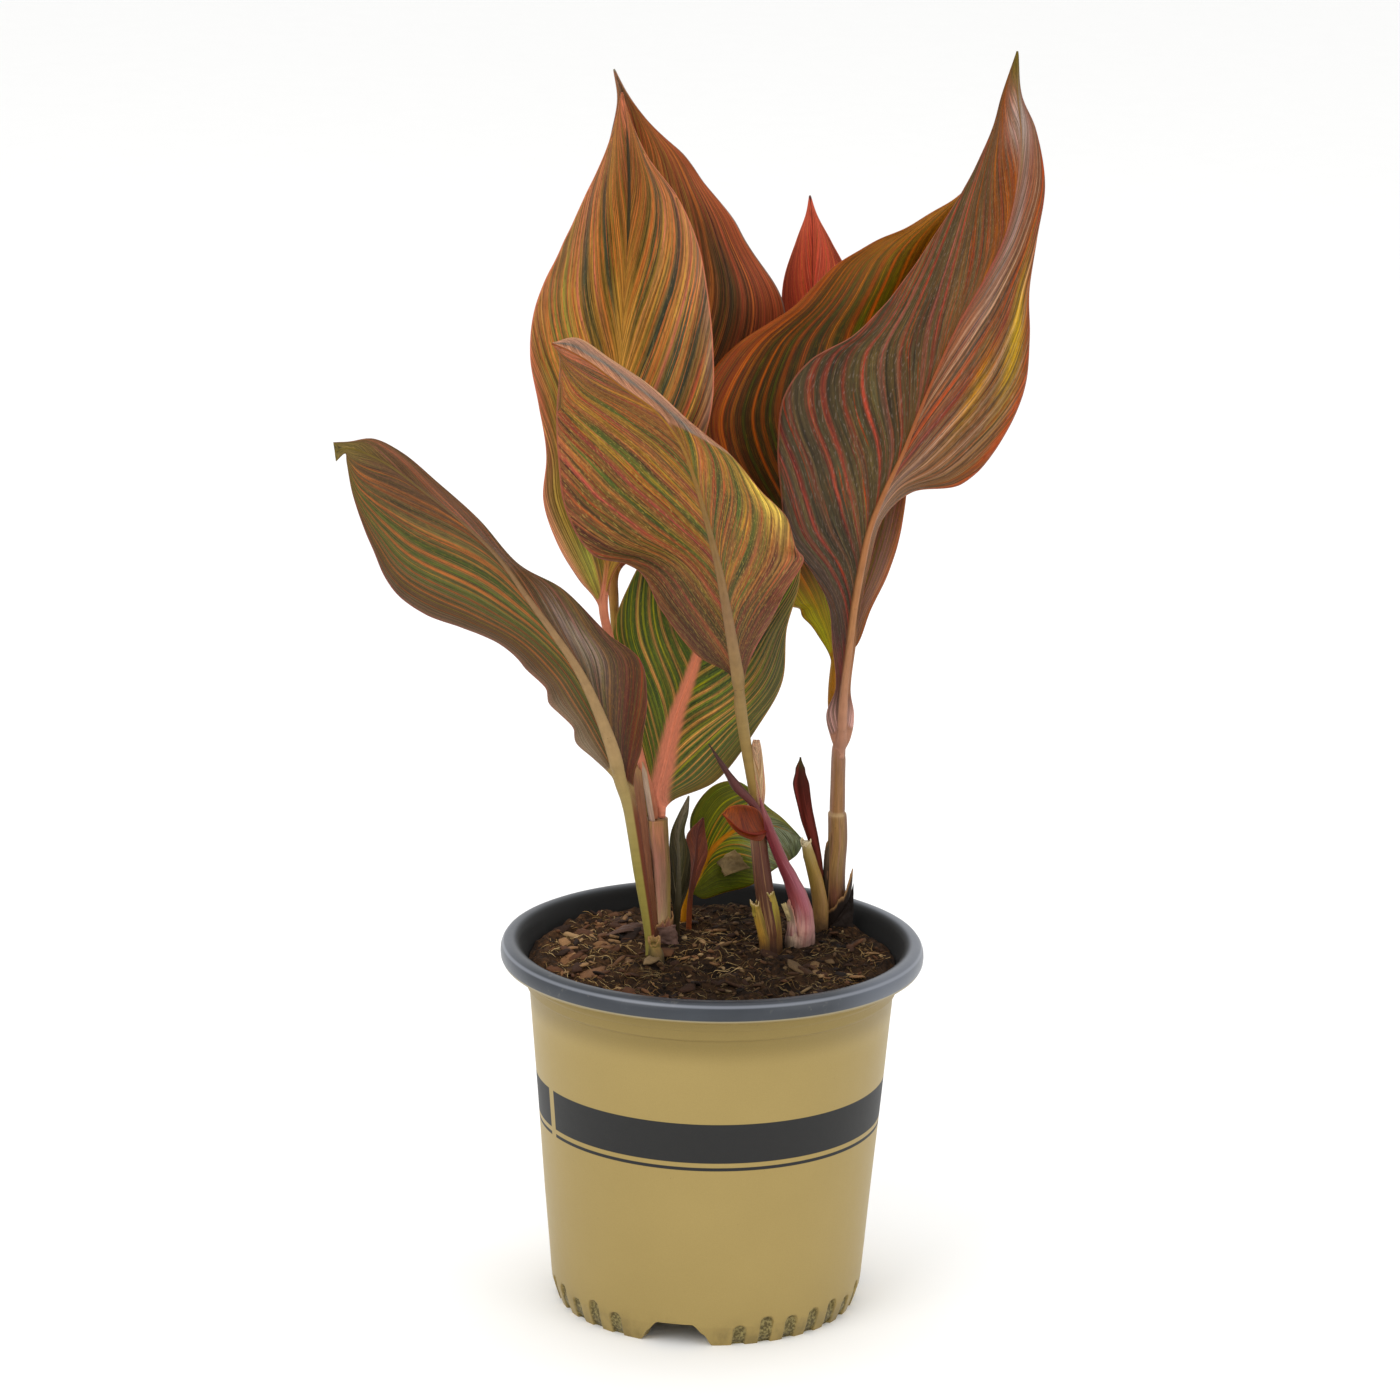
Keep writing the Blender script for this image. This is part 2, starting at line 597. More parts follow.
# the tall leaf on the left, its hollow upper side turned forwards
LEAVES["leaf_left_tall"] = dict(
    stalk=[
        [-24.4, 18.3, 195.35, 1.6], [-24.4, 18.3, 198.5, 1.6], [-30, 17, 220, 1.8], [-41.5, 13, 264.5, 1.9],
    ],
    blade=[
        [[-46, 10, 286], [-48, 9.5, 286], [-44, 9.5, 286]],
        [[-45, 9, 296], [-55.5, 3, 297.5], [-41.5, 5, 300.5]],
        [[-44, 9, 310.5], [-63.5, -3, 312.5], [-30.5, -1, 314]],
        [[-43.5, 10, 327], [-69.5, -8, 332], [-17, -6, 332.5]],
        [[-42.5, 11, 346.5], [-68.5, -8, 350], [-8.5, -9, 352.5]],
        [[-41, 12, 366.5], [-71.5, -13, 370.5], [-4, -10, 373.5]],
        [[-40, 14, 386], [-75, -15, 391.5], [-4, -9, 393.5]],
        [[-39.5, 15, 406], [-73, -14, 411.5], [-6, -7, 412.5]],
        [[-38.5, 14, 428], [-63.5, -9, 433.5], [-10.5, -3, 433.5]],
        [[-38, 12, 448], [-55.5, -4, 450.5], [-19, 1, 451.5]],
        [[-38.5, 8, 466.5], [-47.5, 1, 467.5], [-31, 4, 467]],
        [[-39.5, 3, 481], [-43.5, 1, 480.5], [-37.5, 3, 481]], [-41, -3, 492.5],
    ],
    upper=True, camber=0.07, wave=1.6, waves=2.6, phase=0.1, slot="leaf_orange",
    veins=((0.42, 0.97, 1, 1.7, 0.54), (0.34, 0.97, 1, 1.7, 0.58)),
    zones=[
        (0.19, -0.97, 0.2, 0.26, "#d48a6c", 0.9), (0.19, -0.5, 0.14, 0.3, "#9c9c34", 0.8),
        (0.02, 0.0, 0.08, 0.8, "coral", 0.8), (0.36, -0.78, 0.14, 0.14, "#a08a34", 0.6),
        (0.45, -0.98, 0.22, 0.1, "coral", 0.75), (0.80, -0.9, 0.2, 0.3, "#96523a", 0.6),
        (0.5, 0.0, 0.28, 0.15, "#dca448", 0.9), (0.80, 0.9, 0.2, 0.3, "#96523a", 0.5),
        (0.16, 0.45, 0.14, 0.3, "#c09a3c", 0.7), (0.24, -0.75, 0.14, 0.2, "#c0983c", 0.6),
        (0.88, 0.0, 0.1, 0.6, "#84482a", 0.5), (0.99, 0.0, 0.05, 1.0, "coral", 0.7),
        (0.45, 0.97, 0.3, 0.08, "#8a6a5c", 0.6),
    ],
)
LEAVES["leaf_left_back"] = dict(
    stalk=[
        [-26.3, 21.9, 195.35, 1.6], [-26.3, 21.9, 198.5, 1.6], [-31.5, 24, 212, 1.8], [-39.5, 28, 260.5, 2],
    ],
    blade=[
        [[-42, 30, 283], [-44, 30, 283], [-40, 30, 283]],
        [[-42, 32, 295.5], [-45.5, 31, 296.5], [-39, 31.5, 295.5]],
        [[-37, 37, 314], [-49, 29, 322], [-18, 36, 306.5]],
        [[-29.5, 42, 342], [-52.5, 26, 353], [5.5, 37, 331.5]],
        [[-24.5, 44, 374], [-53.5, 22, 386], [22, 40, 372]],
        [[-22.5, 43, 403], [-52, 19, 417], [23.5, 37, 403]],
        [[-26, 38, 432], [-49.5, 17, 441], [5.5, 31, 433]],
        [[-32, 31, 457], [-48.5, 15, 461], [-12.5, 26, 458.5]],
        [[-38, 22, 480], [-45.5, 14, 474.5], [-31.5, 20, 478.5]],
        [[-42, 17, 491], [-43, 14, 487.5], [-39.5, 16, 489.5]], [-44.5, 13, 499],
    ],
    upper=True, camber=0.06, wave=1.6, waves=3.1, phase=0.4, slot="leaf_rust",
    frills=[
        (6.2, 0.25, 1, 1.0, 0.8), (6.75, 0.2, 1, -0.8, -0.8), (7.3, 0.2, 1, 0.8, 0.8),
        (5.6, 0.3, 1, -0.6, -0.6),
    ],
    veins=repeat((0.9, 0.97, 1, 0.95, 0.42)),
    zones=[
        (0.45, 0.97, 0.06, 0.06, "lime", 0.75), (0.62, 0.97, 0.3, 0.12, "#b4532c", 0.7),
        (1.0, 0.0, 0.07, 1.0, "#6c6c5a", 0.95), (0.5, 0.9, 0.2, 0.25, "#a0442c", 0.6),
        (0.68, 0.3, 0.2, 0.25, "#8c6230", 0.5), (0.02, 0, 0.1, 1, "petiole", 0.8),
        (0.62, 0.55, 0.14, 0.12, "#2f3020", 0.6),
    ],
)
# the leaf in front, under side turned forwards, tip bent over to the left
LEAVES["leaf_front"] = dict(
    stalk=[[15.8, 14, 203.35, 1.9], [15.8, 14, 206, 1.9], [12, 10, 229, 2.2], [9.5, 6, 245.5, 2.4]],
    blade=[
        [[8.5, 3, 256], [5.5, 4, 259], [11, 4, 258.5]], [[6.5, -1, 269], [-8, 3, 267.5], [14.5, 4, 270]],
        [[3.5, -7, 287], [-22, 2, 284.5], [22.5, 3, 286.5]],
        [[0, -16, 306.5], [-32, -2, 302.5], [31.5, 1, 304.5]],
        [[-5, -27, 328], [-50, -12, 312], [27, -6, 322.5]],
        [[-10.5, -37, 348.5], [-60.5, -21, 332], [15, -17, 340]],
        [[-16, -44, 363.5], [-63.5, -29, 355], [2.5, -27, 357]],
        [[-26, -52, 378], [-64, -38, 372.5], [-11.5, -37, 371]],
        [[-39.5, -59, 389], [-63, -48, 386.5], [-27, -47, 386]],
        [[-50.5, -64, 398.5], [-62.5, -57, 396.5], [-42.5, -54, 397.5]],
        [[-59, -68, 404], [-63, -65, 403], [-56, -63, 408]], [-65, -70, 407],
    ],
    upper=False, camber=0.07, wave=1.6, waves=2.4, phase=0.2, slot="leaf_bronze",
    frills=[
        (3.1, 0.22, 1, 2.2, 2.5), (2.55, 0.3, 1, -2.6, -2.5), (3.6, 0.25, 1, -0.6, -2.2),
        (4.1, 0.3, 1, 0.6, 1.8), (1.6, 0.4, 1, 0.8, 1.2), (2.2, 0.5, -1, 0.6, 1.5),
        (5.2, 0.5, 1, 0.3, -1.0),
    ],
    veins=((0.34, 0.97, 1, 1.7, 0.8), (0.2, 0.97, 0.5, 0.5, 0.35)),
    zones=[
        (0.42, 0.95, 0.12, 0.22, "#f0cc62", 0.95), (0.06, -0.75, 0.24, 0.7, "#4a2c22", 0.9),
        (0.04, 0.7, 0.2, 0.8, "#5c3826", 0.8), (0.6, -0.98, 0.4, 0.1, "#96503a", 0.7),
        (0.27, 0.98, 0.08, 0.2, "#98503a", 0.75), (0.12, 0.97, 0.12, 0.15, "dusty", 0.6),
    ],
)
# the tall leaf on the right, under side turned forwards; a winged sheath runs up its stalk
LEAVES["leaf_right_tall"] = dict(
    stalk=[[50.3, 43.8, 214.9, 1.9], [50.3, 43.8, 217.5, 1.9]],
    blade=[
        [[51, 42, 223], [48.5, 42.5, 223], [53, 42.5, 223]],
        [[51, 39, 234.5], [45.5, 40, 235], [55, 40.5, 235]],
        [[51.5, 36, 246.5], [48, 36.5, 246.5], [54, 37, 246]],
        [[53, 31, 265.5], [46, 30, 266], [55.5, 32, 265.5]],
        [[54.5, 26, 284.5], [44, 25, 283.5], [57, 28, 284]],
        [[56.5, 21, 300], [37, 19, 298], [60, 25, 301.5]],
        [[59.5, 16, 317.5], [26.5, 14, 314.5], [65, 22, 319.5]],
        [[65, 10, 334.5], [23.5, 12, 333.5], [76, 18, 331.5]],
        [[71.5, 5, 351], [22, 11, 351.5], [95, 11, 337.5]],
        [[77.5, -1, 369.5], [24, 8, 371.5], [110.5, 5, 358]],
        [[83.5, -6, 386.5], [34.5, 4, 387.5], [118, 0, 378]],
        [[91.5, -12, 407], [50.5, 0, 399], [119, -6, 399]],
        [[100, -18, 424.5], [65.5, -5, 416.5], [118, -11, 419]],
        [[107.5, -24, 443.5], [82, -12, 443], [120, -16, 441]],
        [[111, -29, 463.5], [92.5, -19, 463], [122, -21, 462.5]],
        [[111.5, -34, 484], [100.5, -27, 484.5], [117.5, -27, 484.5]],
        [[109.5, -38, 499.5], [103.5, -34, 499], [111, -35, 499.5]], [108.5, -43, 517],
    ],
    upper=False, camber=0.07, wave=1.6, waves=3.3, phase=0.3, sheath=3, slot="leaf_purple",
    frills=[(0.3, 0.8, -1, 1.9, 0.3), (0.3, 0.8, 1, 1.7, 0.3)],
    veins=((0.2, 0.97, 0.6, 0.6, 0.43), (0.34, 0.97, 0.93, 1.7, 0.36)),
    zones=[
        (0.60, 0.8, 0.13, 0.12, "yellow", 0.7), (0.5, 0.5, 0.08, 0.1, "amber", 0.6),
        (0.90, 0.1, 0.05, 0.6, "#b09a92", 0.9), (0.45, 0.97, 0.3, 0.06, "#b4563c", 0.7),
        (0.99, 0.0, 0.04, 2.0, "olive", 0.9), (0.74, 0.22, 0.16, 0.14, "lilac", 0.6),
        (0.3, 0.25, 0.12, 0.16, "#8a7068", 0.6), (0.2, 0.6, 0.2, 0.5, "#a07050", 0.4),
        (0.12, 0.9, 0.1, 0.3, "#84604c", 0.7), (0.03, -0.7, 0.05, 0.7, "#7c3c3a", 0.8),
        (-0.06, 0.8, 0.045, 1.2, "#e0b0a6", 1.0), (-0.06, -0.8, 0.045, 1.2, "#e0b0a6", 1.0),
        (0.1, -0.8, 0.2, 0.4, "#4c3a30", 0.5),
    ],
)
# the broad leaf behind it on the same stem
LEAVES["leaf_right_back"] = dict(
    stalk=[[49.5, 47.6, 214.9, 1.4], [49.5, 47.6, 217.5, 1.5], [47, 47, 236.5, 1.8], [48, 47, 254.5, 1.9]],
    blade=[
        [[50, 48, 266], [40, 45, 266.5], [56.5, 46, 262]],
        [[51, 49, 276.5], [33, 42, 276.5], [61.5, 46, 276]],
        [[52, 50, 288], [27, 38, 282], [68, 46, 290.5]],
        [[52.5, 52, 302], [14.5, 33, 299.5], [72, 44, 306.5]],
        [[52.5, 55, 321], [-3.5, 27, 325.5], [74, 41, 324.5]],
        [[53, 58, 342], [-14, 21, 351], [75.5, 41, 344]],
        [[56, 60, 364], [-12, 16, 368.5], [77.5, 42, 366.5]],
        [[63, 62, 385], [4.5, 15, 391], [83, 45, 388]],
        [[72.5, 63, 405], [26.5, 19, 404.5], [90, 49, 408.5]],
        [[82, 64, 421], [47, 27, 423], [96, 54, 425]], [[91.5, 64, 436], [72, 40, 435], [101, 58, 440]],
        [[98.5, 64, 447.5], [93, 54, 446], [103.5, 61, 450.5]], [105, 65, 457.5],
    ],
    upper=True, camber=0.06, wave=1.6, waves=3, phase=0.15, slot="leaf_olive",
    veins=((0.86, 0.97, 1, 1, 0.35), (0.6, 0.97, 1, 1, 0.5)),
    frills=[(0.7, 0.25, -1, 1.1, 0.7), (1.15, 0.22, -1, -0.9, -0.7), (1.6, 0.25, -1, 0.9, 0.6)],
    zones=[
        (0.05, -0.75, 0.11, 0.5, "#a8a254", 0.97), (0.18, 0.72, 0.22, 0.4, "#a88a80", 0.95),
        (0.82, -0.85, 0.16, 0.5, "#a4714e", 0.8), (0.4, -0.99, 0.4, 0.07, "#a04a30", 0.8),
        (0.52, 0.0, 0.12, 0.5, "#6a5410", 0.5), (0.2, 0.6, 0.2, 0.6, "wine", 0.5),
        (0.12, 0.98, 0.2, 0.12, "pink", 0.6),
    ],
)
# the green leaf with the broad pink midrib
LEAVES["leaf_green"] = dict(
    stalk=[[-21.3, 20.6, 195.35, 1.5], [-21.3, 20.6, 198.5, 1.6]],
    blade=[
        [[-23, 22.5, 204], [-25, 22, 202.5], [-17, 21.5, 202]],
        [[-20.5, 25, 216], [-28.5, 22, 216], [0, 23, 210]],
        [[-16.5, 27, 235], [-34, 20.5, 238], [16.5, 19, 234]],
        [[-11, 28, 251.5], [-39.5, 19, 256], [26, 17, 253]],
        [[-4.5, 28, 272.5], [-42, 19, 272.5], [27.5, 16.5, 276]],
        [[2.5, 27, 291.5], [-35, 19.5, 293.5], [32, 18, 294.5]],
        [[9, 25, 307.5], [-22, 20.5, 314], [31.5, 19.5, 309.5]],
        [[14.5, 23, 318.5], [-2, 21, 326.5], [26, 19.5, 319.5]], [19, 21, 326],
    ],
    upper=True, camber=0.06, wave=1.2, waves=2.5, phase=0.6, slot="leaf_green", slim=0.3,
    veins=((0.55, 0.97, 0.52, 0.5, 1), (0.69, 0.97, 0.45, 0.5, 0.74)),
    zones=[
        (0.1, 0.95, 0.2, 0.15, "tan", 0.4), (0.6, 0.9, 0.3, 0.35, "#4c4636", 0.7),
        (0.25, 0.9, 0.12, 0.3, "#46512c", 0.4),
    ],
)
# the low leaf reaching out to the left, with a dried fishtail tip
LEAVES["leaf_low_left"] = dict(
    stalk=[[-25, -3, ROOT_Z, 1.8], [-25, -3, 150, 1.9], [-29.5, -5, 180.5, 2.6], [-34, -8, 208.5, 2.9]],
    blade=[
        [[-38, -10, 220], [-40, -10, 219], [-32.5, -8, 219]],
        [[-41, -13, 232.5], [-50.5, -12, 230.5], [-30, -6, 231.5]],
        [[-47, -18, 250], [-62.5, -18, 249], [-27.5, -8, 252.5]],
        [[-54.5, -24, 267.5], [-73, -24, 266], [-30, -11, 268]],
        [[-63.5, -31, 283], [-85, -32, 279.5], [-44, -15, 281]],
        [[-74.5, -38, 300], [-99.5, -39, 287.5], [-61.5, -20, 299.5]],
        [[-85.5, -44, 317], [-113.5, -46, 294.5], [-78, -29, 311]],
        [[-99.5, -50, 332.5], [-126, -51, 305.5], [-93, -38, 330.5]],
        [[-113.5, -55, 345], [-135, -56, 326], [-109, -46, 347]],
        [[-127.5, -59, 356.5], [-140.5, -60, 343.5], [-123, -53, 360.5]],
        [[-138.5, -62, 362.5], [-143, -62, 358], [-133.5, -58, 366.5]],
        [[-143, -63, 363.5], [-143.5, -63, 361.5], [-142, -62, 366]],
        [[-147.5, -64, 362.5], [-147, -64, 358.5], [-148, -64, 366]],
    ],
    upper=False, camber=0.06, wave=1.2, waves=2.8, phase=0.5, slot="leaf_bronze",
    frills=[
        (1.2, 0.22, -1, 1.6, 1.5), (1.7, 0.2, -1, -1.6, -2.5), (2.15, 0.22, -1, 1.4, 2.0),
        (2.7, 0.22, -1, -1.4, -2.0), (3.1, 0.25, -1, 0.8, 1.5), (0.9, 0.3, 1, 1.0, 1.0),
    ],
    veins=((0.95, 0.97, 1, 0.9, 0.32), (0.4, 0.97, 0.75, 0.5, 0.57)),
    zones=[
        (0.99, 0, 0.05, 1.5, "#776535", 0.95), (0.12, 0.6, 0.16, 0.5, "wine", 0.6),
        (0.14, -0.8, 0.15, 0.35, "#a08c74", 0.7), (0.13, 0.8, 0.2, 0.4, "#58240f", 0.9),
        (0.62, 0.7, 0.2, 0.4, "#8a5c4c", 0.4), (0.38, 0.35, 0.12, 0.25, "lilac", 0.55),
        (0.85, 0.1, 0.12, 0.8, "#5c3c2c", 0.5),
    ],
)
# the young red leaf at the back
LEAVES["leaf_young"] = dict(
    stalk=[[50.3, 50.4, 214.9, 0.9], [50.3, 50.4, 217.5, 0.9], [48, 56, 257, 1], [44, 62, 310, 1.2]],
    blade=[
        [[41, 65, 338], [38, 64, 336], [44, 64, 336.5]],
        [[39, 67, 362.5], [30, 62, 361.5], [48, 62, 361.5]],
        [[37, 68, 387], [24, 62, 385.5], [51.5, 62, 386.5]],
        [[35.5, 68, 407], [23.5, 62, 407], [50.5, 62, 408]],
        [[35, 67, 423.5], [28.5, 63, 424.5], [42.5, 63, 424]],
        [[34.5, 66, 434], [32, 65, 434.5], [36.5, 65, 434.5]], [33.5, 65, 442],
    ],
    upper=True, camber=0.06, wave=0.5, waves=1.5, phase=0, slot="leaf_young", columns=20,
    veins=repeat((0.95, 0.97, 1, 0.9, 0.4)),
)
# the low leaf arching over at the back of the pot
LEAVES["leaf_low_back"] = dict(
    stalk=[[-11.5, 41.5, ROOT_Z, 1.3], [-11.5, 41.5, 150, 1.3], [-10, 42, 157, 1.3]],
    blade=[
        [[-5.5, 44, 164.5], [-8, 45, 168], [-4, 41, 155]],
        [[0.5, 47, 175.5], [-9.5, 48, 188.5], [4.5, 43, 157]],
        [[10, 50, 182.5], [0, 52, 200.5], [15.5, 46, 159.5]],
        [[19.5, 52, 184], [12.5, 55, 200.5], [25.5, 49, 166]],
        [[29, 53, 181.5], [26.5, 55, 187.5], [34, 52, 171]], [37, 54, 176],
    ],
    upper=True, camber=0.05, wave=0.8, waves=1.5, phase=0.2, slot="leaf_green", columns=24, step=0.8,
    veins=repeat((0.85, 0.85, 1, 0.5, 0.45)), frills=[(3.45, 0.4, -1, -4.5, 0.0)],
    zones=[(0.8, 0.3, 0.26, 0.9, "#9ca48c", 0.95), (0.3, 0.75, 0.25, 0.3, "deepgreen", 0.75)],
)
LEAVES["leaf_small_grey"] = dict(
    stalk=[[-14.5, 26, ROOT_Z, 1.2], [-14.5, 26, 152.5, 1.2]],
    blade=[
        [[-14, 26, 163], [-17.5, 29, 162], [-10, 31, 163]],
        [[-14, 26, 176], [-18, 30, 176], [-9.5, 32, 175.5]],
        [[-14.5, 27, 187.5], [-17.5, 29, 186.5], [-12, 30, 186.5]],
        [[-12.5, 28, 195], [-14.5, 29, 194.5], [-10.5, 29, 195]], [-10.5, 29, 202],
    ],
    upper=False, camber=0.05, wave=0, waves=1, phase=0, slot="leaf_grey", columns=14, step=0.8, ripple=0.2,
    veins=repeat((0.5, 0.9, 0.8, 1, 1)),
)
LEAVES["leaf_small_red"] = dict(
    stalk=[[-9.5, 34.5, ROOT_Z, 1.1], [-9.5, 34.5, 150, 1.1], [-9, 35, 159, 1]],
    blade=[
        [[-8, 36, 166.5], [-10, 38, 166], [-5, 38, 167]], [[-7, 37, 176], [-11, 40, 176], [-2.5, 40, 175]],
        [[-6.5, 38, 183.5], [-11, 40, 182.5], [-3.5, 40, 183]], [-4.5, 39, 190],
    ],
    upper=False, camber=0.05, wave=0, waves=1, phase=0, slot="shoot_wine", columns=14, step=0.8, ripple=0.2,
    veins=repeat((0.5, 0.9, 0.8, 1, 1)),
)


def half(ground, **colours):
    """a half's ground colours and its stripes, which are listed by colour as (place, width[, strength])"""
    stripes = [(at, width, name, *more) for name in colours for at, width, *more in colours[name]]
    return ground, sorted(stripes)


# rib: the midrib's colours, from -0.7 in the stalk to 1 at the tip. sides: for the left and the
# right half, the ground colours and the stripes over them, both by where their vein leaves the
# midrib (VEIN_LOW to VEIN_HIGH). streaks: short marks along the veins as (colour, amount, from which
# noise value). rib_top widens the midrib between two heights, fold lays a strip over the right half,
# flank colours one side of the stalk. light and rich are the whole leaf's brightness and saturation.
LOOKS = {}
LOOKS["leaf_left_tall"] = dict(
    seed=1, edge="coral", rib_wide=1.0, upper_rib=0.85, light=1.0, rich=1.0, rib_top=(0.73, 0.92, 3.0),
    rib=[
        (-0.7, "#7c4a2c"), (-0.36, "#7c4a2c"), (-0.24, "salmon"), (0.13, "salmon"), (0.2, "amber"),
        (0.32, "#d0a848"), (0.5, "#c89c44"), (0.66, "#a8722e"), (0.72, "teal"), (0.82, "#343a2e"),
        (0.92, "teal"), (1.0, "rust"),
    ],
    streaks=[("olive", 0.7, 0.55), ("orange", 0.75, 0.56), ("amber", 0.5, 0.6), ("moss", 0.6, 0.62)],
    sides=(
        half(
            [
                (-1.6, "coral"), (-0.45, "salmon"), (-0.12, "ochre"), (0.1, "ochre"), (0.3, "amber"),
                (0.45, "ochre"), (0.58, "ochre"), (0.7, "#95552a"), (0.85, "rust"), (1.0, "coral"),
            ],
            coral=[(-0.25, 0.03), (0.09, 0.012), (0.352, 0.01), (0.432, 0.012), (0.78, 0.014, 0.6)],
            olive=[(-0.16, 0.03), (0.475, 0.012), (0.527, 0.01), (0.64, 0.02), (0.72, 0.02), (0.83, 0.03)],
            lime=[(-0.09, 0.03), (-0.03, 0.03), (0.14, 0.01), (0.245, 0.012), (0.285, 0.016)],
            moss=[(0.02, 0.02)],
            green=[
                (0.06, 0.012), (0.115, 0.012), (0.165, 0.018), (0.225, 0.018), (0.262, 0.012),
                (0.303, 0.014),
            ],
            orange=[
                (0.19, 0.01), (0.33, 0.012), (0.405, 0.008), (0.455, 0.01), (0.6, 0.012), (0.69, 0.014),
            ],
            teal=[(0.385, 0.034), (0.5, 0.044)], amber=[(0.55, 0.02)],
        ),
        half(
            [
                (-1.6, "coral"), (-0.3, "rust"), (0.0, "rust"), (0.25, "ochre"), (0.5, "ochre"),
                (0.7, "#95552a"), (0.85, "#7d5233"), (1.0, "coral"),
            ],
            rust=[(0.09, 0.02), (0.7, 0.014)], dark=[(0.13, 0.02)], red=[(0.17, 0.014)],
            teal=[(0.22, 0.03), (0.28, 0.032), (0.37, 0.042), (0.49, 0.048)],
            orange=[
                (0.245, 0.008), (0.345, 0.008), (0.4, 0.01), (0.432, 0.008), (0.53, 0.014), (0.6, 0.012),
                (0.67, 0.012), (0.77, 0.016),
            ],
            coral=[(0.31, 0.012), (0.45, 0.01), (0.85, 0.02)],
            amber=[(0.33, 0.008), (0.417, 0.007), (0.465, 0.008)],
            olive=[(0.56, 0.02), (0.64, 0.02), (0.735, 0.02), (0.81, 0.02)],
        ),
    ),
)
LOOKS["leaf_left_back"] = dict(
    seed=2, edge="grey", rib_wide=1.2, flare=0.4, fleck="rust", light=1.2, rich=1.0,
    rib=[
        (-0.7, "petiole"), (0.0, "petiole"), (0.1, "ochre"), (0.4, "rust"), (0.9, "red"), (1.0, "#6c6c5a"),
    ],
    streaks=[("dark", 0.7, 0.55), ("orange", 0.7, 0.58), ("olive", 0.6, 0.57), ("#b4482c", 0.7, 0.59)],
    sides=repeat(
        half(
            [
                (-1.6, "wine"), (-0.9, "#5c2c1c"), (0.0, "#84482a"), (0.4, "#8a5028"), (0.6, "#8e5a2a"),
                (0.85, "rust"), (1.0, "red"),
            ],
            dark=[(-0.9, 0.04), (-0.55, 0.04), (-0.3, 0.04), (-0.1, 0.05), (0.1, 0.04), (0.18, 0.03)],
            red=[
                (-0.7, 0.05), (-0.42, 0.04), (-0.02, 0.03), (0.3, 0.014), (0.38, 0.012), (0.52, 0.016),
                (0.76, 0.014),
            ],
            orange=[(-0.2, 0.03), (0.24, 0.03), (0.63, 0.016)], rust=[(0.04, 0.02)],
            olive=[(0.145, 0.012), (0.5, 0.014), (0.6, 0.016), (0.67, 0.02), (0.8, 0.03)],
            brown=[(0.275, 0.012), (0.47, 0.012), (0.7, 0.012), (0.84, 0.02)],
            ochre=[(0.34, 0.012), (0.42, 0.016), (0.57, 0.012)],
        ),
    ),
)
LOOKS["leaf_front"] = dict(
    seed=3, edge="#a8604c", rib_wide=1.05, flare=0.3, fleck="#b89a54", flecks=0.45, fine=100, light=0.86,
    fold=(
        0.71, 0.17,
        [
            (0, "#5c3a2c"), (0.05, "#b88264"), (0.25, "#9c6b52"), (0.4, "#6e6860"), (0.52, "#93705e"),
            (0.8, "#b0806a"), (1, "#c89c74"),
        ],
    ),
    rib=[
        (-0.7, "petiole"), (-0.25, "#93743c"), (-0.05, "#937a4c"), (0.2, "#87694a"), (0.45, "#80633a"),
        (0.7, "ochre"), (1.0, "rust"),
    ],
    streaks=[("amber", 0.4, 0.6), ("moss", 0.75, 0.56), ("#8a5630", 0.7, 0.54), ("#a8482e", 0.65, 0.6)],
    sides=(
        half(
            [
                (-1.6, "wine"), (-0.4, "#4e2c20"), (-0.1, "#583826"), (0.08, "#6a4c2c"), (0.25, "#7c562c"),
                (0.5, "#88602c"), (0.66, "#86562c"), (0.85, "#7e4528"), (1.0, "coral"),
            ],
            wine=[(-0.3, 0.03)],
            brick=[
                (-0.15, 0.014, 0.6), (0.03, 0.01), (0.085, 0.01), (0.225, 0.016), (0.342, 0.016),
                (0.437, 0.01), (0.503, 0.014), (0.7, 0.014), (0.78, 0.016),
            ],
            olive=[(-0.05, 0.014, 0.6), (0.19, 0.012), (0.25, 0.012), (0.365, 0.01)],
            moss=[(0.06, 0.01), (0.13, 0.016), (0.62, 0.012), (0.81, 0.02)],
            copper=[
                (0.16, 0.01, 0.7), (0.268, 0.008, 0.7), (0.315, 0.008, 0.7), (0.48, 0.008), (0.59, 0.01),
                (0.66, 0.014), (0.84, 0.014),
            ],
            green=[(0.293, 0.026), (0.408, 0.032), (0.56, 0.034)],
            amber=[(0.38, 0.008), (0.46, 0.01), (0.53, 0.01), (0.74, 0.012)], coral=[(0.88, 0.03)],
        ),
        half(
            [
                (-1.6, "wine"), (-0.1, "wine"), (0.05, "umber"), (0.15, "bronze"), (0.45, "bronze"),
                (0.5, "olive"), (0.6, "bronze"), (0.68, "dusty"), (0.8, "#a8725e"), (1.0, "#a8725e"),
            ],
            brick=[(-0.1, 0.014, 0.5), (0.03, 0.012, 0.7), (0.11, 0.01), (0.172, 0.01)],
            dusty=[(-0.03, 0.014)], moss=[(0.08, 0.012)],
            green=[(0.15, 0.016), (0.198, 0.018), (0.265, 0.024), (0.355, 0.026), (0.5, 0.024)],
            copper=[
                (0.13, 0.01), (0.22, 0.01), (0.29, 0.01), (0.328, 0.008), (0.38, 0.01), (0.42, 0.01),
                (0.55, 0.01), (0.6, 0.012),
            ],
            amber=[(0.235, 0.008), (0.31, 0.01), (0.437, 0.008), (0.475, 0.008), (0.53, 0.012)],
            olive=[(0.4, 0.01), (0.575, 0.01)], coral=[(0.455, 0.01)], pink=[(0.65, 0.02), (0.8, 0.03)],
            lilac=[(0.72, 0.02)], grey=[(0.86, 0.03)],
        ),
    ),
)
